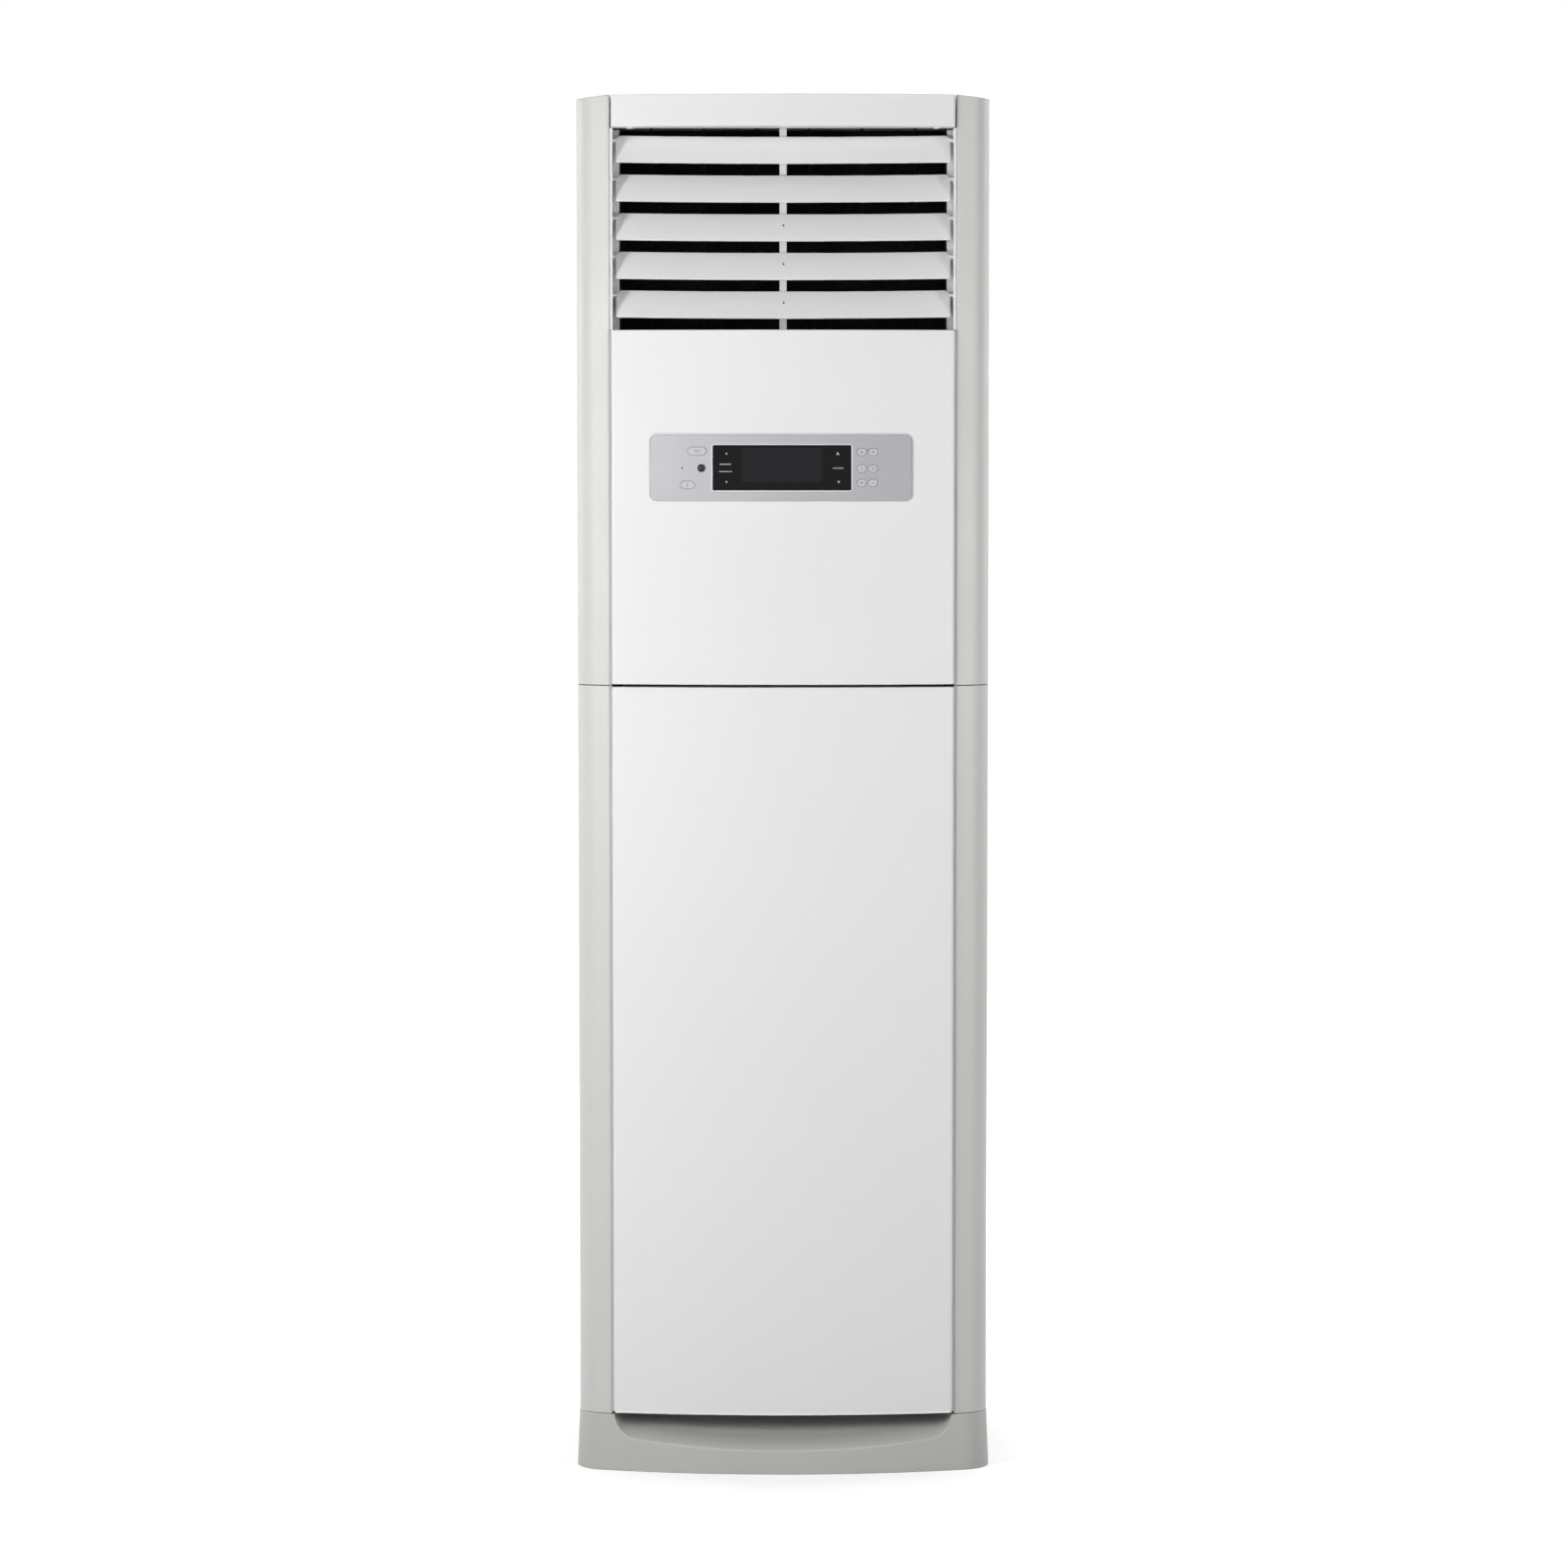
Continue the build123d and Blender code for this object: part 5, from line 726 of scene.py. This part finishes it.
def window_marks():
    """Plain arrows and strokes near both ends of the window."""
    left, right, mid = WINDOW_LOW.x, WINDOW_HIGH.x, WINDOW_MID_Z
    pale = [
        triangle(left + 18 * MM, mid + 18.5 * MM, 3.0 * MM),
        bar(left + 17 * MM, mid + 4.6 * MM, 15 * MM, 1.5 * MM),
        bar(left + 17 * MM, mid - 5.0 * MM, 17 * MM, 1.2 * MM),
        triangle(left + 18 * MM, mid - 18.8 * MM, 3.0 * MM, up=False),
        triangle(right - 18 * MM, mid + 18.5 * MM, 4.0 * MM),
        triangle(right - 16.5 * MM, mid - 18.8 * MM, 3.2 * MM, up=False),
    ]
    warm = [bar(right - 17.5 * MM, mid - 0.6 * MM, 14 * MM, 1.5 * MM)]
    printed("window_marks", pale, WINDOW_LEVEL, PRINT_PALE, "cabinet")
    printed("window_mark_warm", warm, WINDOW_LEVEL, PRINT_WARM, "cabinet")


window_marks()

# marks on each key's cap, in millimetres from its middle
KEY_MARKS = {
    1: [bar(0, 1.2, 9, 0.7), bar(0, -1.2, 6, 0.7)],
    2: [bar(0, 0, 0.8, 4.5)],
    3: [triangle(0, 0, 3.0)],
    4: [bar(0, 0, 4.4, 0.8), bar(0, 0, 0.8, 4.4)],
    5: [bar(0, 0, 0.8, 4.6)],
    6: [bar(0, 1.0, 4.6, 0.7), bar(0, -1.0, 4.6, 0.7)],
    7: [triangle(0, 0, 3.0, up=False)],
    8: [bar(0, 0, 4.4, 0.8)],
}
for number, marks in KEY_MARKS.items():
    key_x, key_z = front_size(*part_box(f"key_{number}"))[:2]
    key_loops = [[(key_x + u * MM, key_z + v * MM) for u, v in loop] for loop in marks]
    printed(f"key_{number}_legend", key_loops, KEY_LEVEL, PRINT_GREY, f"key_{number}")

# ---------------------------------------------------------------- rounded lip of the finger recess
SCOOP_HALF = PANEL_HIGH.x - 1.0 * MM
SCOOP_LIP = 30 * MM
SCOOP_CORNER = 28 * MM
SCOOP_RISE = 0.57735            # the recess's floor climbs by 30 degrees
LIP_TOP = 68 * MM


def mouth_point(x, height, rounds=6):
    """Place on the plinth's face where the recess wall at x, a height above its floor line, comes out."""
    y = PLINTH_FRONT
    for _ in range(rounds):
        z = SCOOP_LIP + height + (y - PLINTH_FRONT) * SCOOP_RISE
        y = PLINTH_FRONT + PLINTH_TAPER * z + x * x / 2 / PLINTH_BOW_RADIUS
    return Vector((x, y, z))


def mouth_path(straight_steps=40, corner_steps=12):
    """The mouth of the recess from its left end to its right end."""
    straight = SCOOP_HALF - SCOOP_CORNER
    half = [mouth_point(straight * step / straight_steps, 0.0) for step in range(straight_steps)]
    for step in range(corner_steps + 1):
        angle = pi / 2 * step / corner_steps
        half.append(mouth_point(straight + SCOOP_CORNER * sin(angle), SCOOP_CORNER * (1 - cos(angle))))
    while half[-1].z > LIP_TOP:
        half.pop()
    return [Vector((-p.x, p.y, p.z)) for p in reversed(half[1:])] + half


def scoop_lip(radius=1.1 * MM, sunk=0.6 * MM, thin_end=0.35, fade_points=8, count=12):
    """Rounded bead along the mouth of the recess, thinner towards its ends, in a paler grey that is a
    painted highlight.
    """
    path = mouth_path()
    last = len(path) - 1
    points = []
    for index, place in enumerate(path):
        along = (path[min(index + 1, last)] - path[max(index - 1, 0)]).normalized()
        out = Vector((place.x / PLINTH_BOW_RADIUS, -1.0, PLINTH_TAPER)).normalized()
        out = (out - along * out.dot(along)).normalized()
        side = along.cross(out)
        size = radius * min(1.0, thin_end + min(index, last - index) / fade_points)
        for step in range(count):
            turn = 2 * pi * step / count
            points.append(place - out * sunk + (out * cos(turn) + side * sin(turn)) * size)
    faces = loft(len(path), count) + [first_cap(count), last_cap(len(path), count)]
    make_piece("scoop_lip", points, faces, LIP_HIGHLIGHT_GREY, "cabinet")


scoop_lip()

# ---------------------------------------------------------------- return lips beside the front panels
PILLAR_FACE = -173.0 * MM
GAP_INSIDE = PANEL_HIGH.x + 0.25 * MM
LIP_ROOT = PANEL_HIGH.x + 1.9 * MM


def pillar_lip(name, side, round_off=0.6 * MM, recess=0.3 * MM, deep=2.3 * MM, end_gap=1.5 * MM, steps=6):
    """Thin lip of the corner column that closes the joint beside the panels, rounded in front."""
    front = PILLAR_FACE + recess
    section = [(LIP_ROOT, front), (LIP_ROOT, front + deep), (GAP_INSIDE, front + deep)]
    for step in range(steps + 1):
        angle = pi / 2 * step / steps
        section.append((GAP_INSIDE + round_off * (1 - cos(angle)), front + round_off * (1 - sin(angle))))
    levels = [LOWER_LOW.z + end_gap, LOWER_HIGH.z, PANEL_LOW.z, PANEL_HIGH.z - end_gap]
    points = [(side * x, y, z) for z in levels for x, y in section]
    count = len(section)
    faces = loft(len(levels), count) + [tuple(range(count)), last_cap(len(levels), count)]
    make_piece(name, points, faces, finish["white_column"], "cabinet", smooth=False)


pillar_lip("pillar_lip_left", -1)
pillar_lip("pillar_lip_right", 1)

# ---------------------------------------------------------------- pin ends on the lower slats
PIN_X = 0.8 * MM
PIN_HEIGHTS = {"louvre_3": 1.6541, "louvre_4": 1.6034, "louvre_5": 1.5526}
AHEAD = 0.5                     # where the look towards the slat starts, in front of the object


def pin_end(louvre, z, sunk=0.1 * MM):
    """Domed end of a link pin, flat on the slat's face."""
    hit, place, normal, _ = NODES[louvre].ray_cast(Vector((PIN_X, -AHEAD, z)), Vector((0, 1, 0)))
    if not hit:
        raise RuntimeError("no slat face in front of the pin")
    side = normal.cross(Vector((0, 0, 1))).normalized()
    up = side.cross(normal)
    domed(louvre + "_pin_end", lambda u, v, rise: place + side * u + up * v + normal * (rise - sunk),
          1.5 * MM, 0.35 * MM, PRINT_DARK, louvre, rings=4, count=24)


for louvre_name, pin_z in PIN_HEIGHTS.items():
    pin_end(louvre_name, pin_z)

# ---------------------------------------------------------------- rear screws with a cross recess
SCREW_REACH = 9 * MM            # corners nearer than this belong to one screw


def screw_places():
    """X and Z of each screw, grouped from the CAD screws' own corners."""
    clusters = []
    for vertex in NODES["case_screws"].data.vertices:
        x, z = vertex.co.x, vertex.co.z
        for cluster in clusters:
            if abs(cluster[0][0] - x) < SCREW_REACH and abs(cluster[0][1] - z) < SCREW_REACH:
                cluster.append((x, z))
                break
        else:
            clusters.append([(x, z)])
    places = []
    for cluster in clusters:
        xs, zs = zip(*cluster)
        places.append(((min(xs) + max(xs)) / 2, (min(zs) + max(zs)) / 2))
    return places


def recess_depth(u, v, half_width=0.55 * MM, arm=2.3 * MM, deepest=1.1 * MM, run_out=3.2 * MM):
    """Depth of the cross recess at a place on the head."""
    near, far = sorted((abs(u), abs(v)))
    return deepest * (1 - far / run_out) if near < half_width and far < arm else 0.0


def cross_screws(
    places,
    head_radius=4.0 * MM,
    head_height=2.0 * MM,
    rim_drop=0.45,
    rim_curve=2.5,
    shank=1.9 * MM,
    length=9.0 * MM,
    turn_each=0.7,
    rings=12,
    count=48,
):
    """Pan heads with a cross recess, each turned further, on shanks that reach through the sheet."""
    seat = SCREW_BACK - head_height
    angles = [2 * pi * step / count for step in range(count)]
    points = []
    faces = []
    for index, (x, z) in enumerate(places):
        turned = index * turn_each
        base = len(points)
        for ring in range(rings + 1):
            reach = head_radius * ring / rings
            crown = head_height * (1 - rim_drop * (ring / rings) ** rim_curve)
            for angle in angles:
                px, pz = reach * cos(angle), reach * sin(angle)
                u = px * cos(turned) + pz * sin(turned)
                v = -px * sin(turned) + pz * cos(turned)
                points.append((x + px, seat + crown - recess_depth(u, v), z + pz))
        for radius, y in ((head_radius, seat), (shank, seat), (shank, SCREW_BACK - length)):
            points += [(x + radius * cos(angle), y, z + radius * sin(angle)) for angle in angles]
        rows = rings + 4
        for number, quad in enumerate(loft(rows, count)):
            corners = tuple(base + corner for corner in quad)
            # the first ring is one point, so its quads are triangles
            faces.append(corners if number >= count else (corners[0], corners[2], corners[3]))
        faces.append(tuple(base + (rows - 1) * count + step for step in reversed(range(count))))
    piece = make_piece("case_screws_crossed", points, faces, finish["zinc"], "cabinet")
    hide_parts("case_screws")


cross_screws(screw_places())

# ---------------------------------------------------------------- pressed beads on the rear sheet
BEAD_WIDE = 9 * MM
BEAD_PROUD = 1.6 * MM
BEAD_CORNER = 50 * MM
BEAD_STEPS = 8
BEAD_FOOT = 1.2                 # over 1 the bead leaves the sheet in a softer curve


def bead_ring(name, size):
    """Raised rounded bead round a rectangle on the rear sheet, (middle x, middle z, width, height)."""
    rows = []
    for step in range(BEAD_STEPS + 1):
        part = step / BEAD_STEPS
        rise = BEAD_PROUD * sin(pi * part) ** BEAD_FOOT if 0 < part < 1 else 0.0
        rows.append(((part - 0.5) * BEAD_WIDE, rise))
    coat = NODES["rear_panel"].data.materials[0]
    trim_ring(name, size, BEAD_CORNER, rows, on_rear, coat, steps=8, along=2)


bead_ring("rear_bead_upper", (0.0, 1.24, 0.40, 0.80))
bead_ring("rear_bead_lower", (0.0, 0.42, 0.26, 0.52))

# ---------------------------------------------------------------- studio
STAGE_SIZE = 60.0


def floor_finish():
    """White floor that is seen brighter further out, and lights the object only by what falls on it."""
    t = Finish("studio_floor_white")
    t.tree.nodes.remove(t.shader)
    diffuse = t.add("ShaderNodeBsdfDiffuse")
    mottle = t.mix(t.cloud(scale=0.8, detail=2.0), (0.52, 0.52, 0.52), (0.54, 0.54, 0.54))
    t.put(diffuse.inputs["Color"], mottle)
    glow = t.add("ShaderNodeEmission")
    reach = t.add("ShaderNodeVectorMath", operation="LENGTH")
    t.put(reach.inputs[0], t.coords)
    far = t.ramp(reach.outputs["Value"], low=0.25, high=0.85, out_low=0.55)
    t.put(glow.inputs["Strength"], t.times(t.seen(), far))
    both = t.add("ShaderNodeAddShader")
    t.put(both.inputs[0], diffuse.outputs["BSDF"])
    t.put(both.inputs[1], glow.outputs["Emission"])
    t.put(t.output.inputs["Surface"], both.outputs["Shader"])
    return t.material


def studio_floor():
    mesh = bpy.data.meshes.new("studio_floor")
    corners = [(x * STAGE_SIZE, y * STAGE_SIZE, 0) for x, y in ((-1, -1), (1, -1), (1, 1), (-1, 1))]
    mesh.from_pydata(corners, [], [(0, 1, 2, 3)])
    mesh.materials.append(floor_finish())
    floor = bpy.data.objects.new("studio_floor", mesh)
    bpy.context.scene.collection.objects.link(floor)


def studio_world():
    """White where it is seen, and a faint cool light on the object."""
    world = bpy.data.worlds.new("studio_world")
    bpy.context.scene.world = world
    world.use_nodes = True
    w = Nodes(world.node_tree)
    blend = w.add("ShaderNodeMixShader")
    w.put(blend.inputs["Fac"], w.seen())
    for socket, colour, strength in (
        (blend.inputs[1], (0.95, 0.97, 1.0, 1), 0.06),
        (blend.inputs[2], (1, 1, 1, 1), 1.0),
    ):
        background = w.add("ShaderNodeBackground")
        background.inputs["Color"].default_value = colour
        background.inputs["Strength"].default_value = strength
        w.put(socket, background.outputs["Background"])
    w.put(w.add("ShaderNodeOutputWorld").inputs["Surface"], blend.outputs["Shader"])


def soft_box(name, place, aim, size, power, glossy=True):
    """Soft box pointed at a place. Gloss mirrors it unless glossy is off."""
    data = bpy.data.lights.new(name, "AREA")
    data.shape = "RECTANGLE"
    data.size, data.size_y = size
    data.energy = power
    lamp = bpy.data.objects.new(name, data)
    bpy.context.scene.collection.objects.link(lamp)
    lamp.location = place
    lamp.rotation_euler = (Vector(aim) - Vector(place)).to_track_quat("-Z", "Y").to_euler()
    lamp.visible_glossy = glossy


studio_floor()
studio_world()

KEY_AIM = (0, 0, 1.35)
KEY_SIZE = (0.6, 1.0)
SIDE_AIM = (0, 0.1, 1.0)
SIDE_SIZE = (1.2, 1.6)
TOP_SIZE = (2.4, 2.4)

soft_box("front_soft", (-0.5, -4.6, 3.3), (0, 0, 1.25), (2.2, 1.2), 31)
soft_box("key_left", (-1.9, -1.9, 1.40), KEY_AIM, KEY_SIZE, 25)
# a box that gloss doesn't mirror, so that the panels keep their tone when they are seen from the right
soft_box("key_matte", (-1.97, -1.97, 1.40), KEY_AIM, KEY_SIZE, 21, glossy=False)
soft_box("fill_right", (2.0, -1.9, 1.40), KEY_AIM, KEY_SIZE, 26)
soft_box("top_soft", (0, 0.9, 4.4), (0, 0.1, 1.2), TOP_SIZE, 50)
soft_box("back_soft", (0.6, 3.6, 2.6), (0, 0, 1.2), TOP_SIZE, 70)
soft_box("side_left", (-3.2, 1.6, 1.7), SIDE_AIM, SIDE_SIZE, 26)
soft_box("side_right", (3.2, 1.6, 1.7), SIDE_AIM, SIDE_SIZE, 26)

scene = bpy.context.scene
scene.view_settings.view_transform = "Standard"

# ---------------------------------------------------------------- camera
SENSOR = 36.0
PHOTO_WIDTH = 1600
FOCAL_PIXELS = 4879
CAMERA_PLACE = (0.0012, -6.486, 1.3546)
LOOKING_DOWN = 3.951            # degrees

camera_data = bpy.data.cameras.new("photo_camera")
camera_data.sensor_width = SENSOR
camera_data.lens = SENSOR * FOCAL_PIXELS / PHOTO_WIDTH
camera = bpy.data.objects.new("photo_camera", camera_data)
scene.collection.objects.link(camera)
camera.location = CAMERA_PLACE
camera.rotation_euler = (radians(90 - LOOKING_DOWN), 0.0, 0.0)
scene.camera = camera
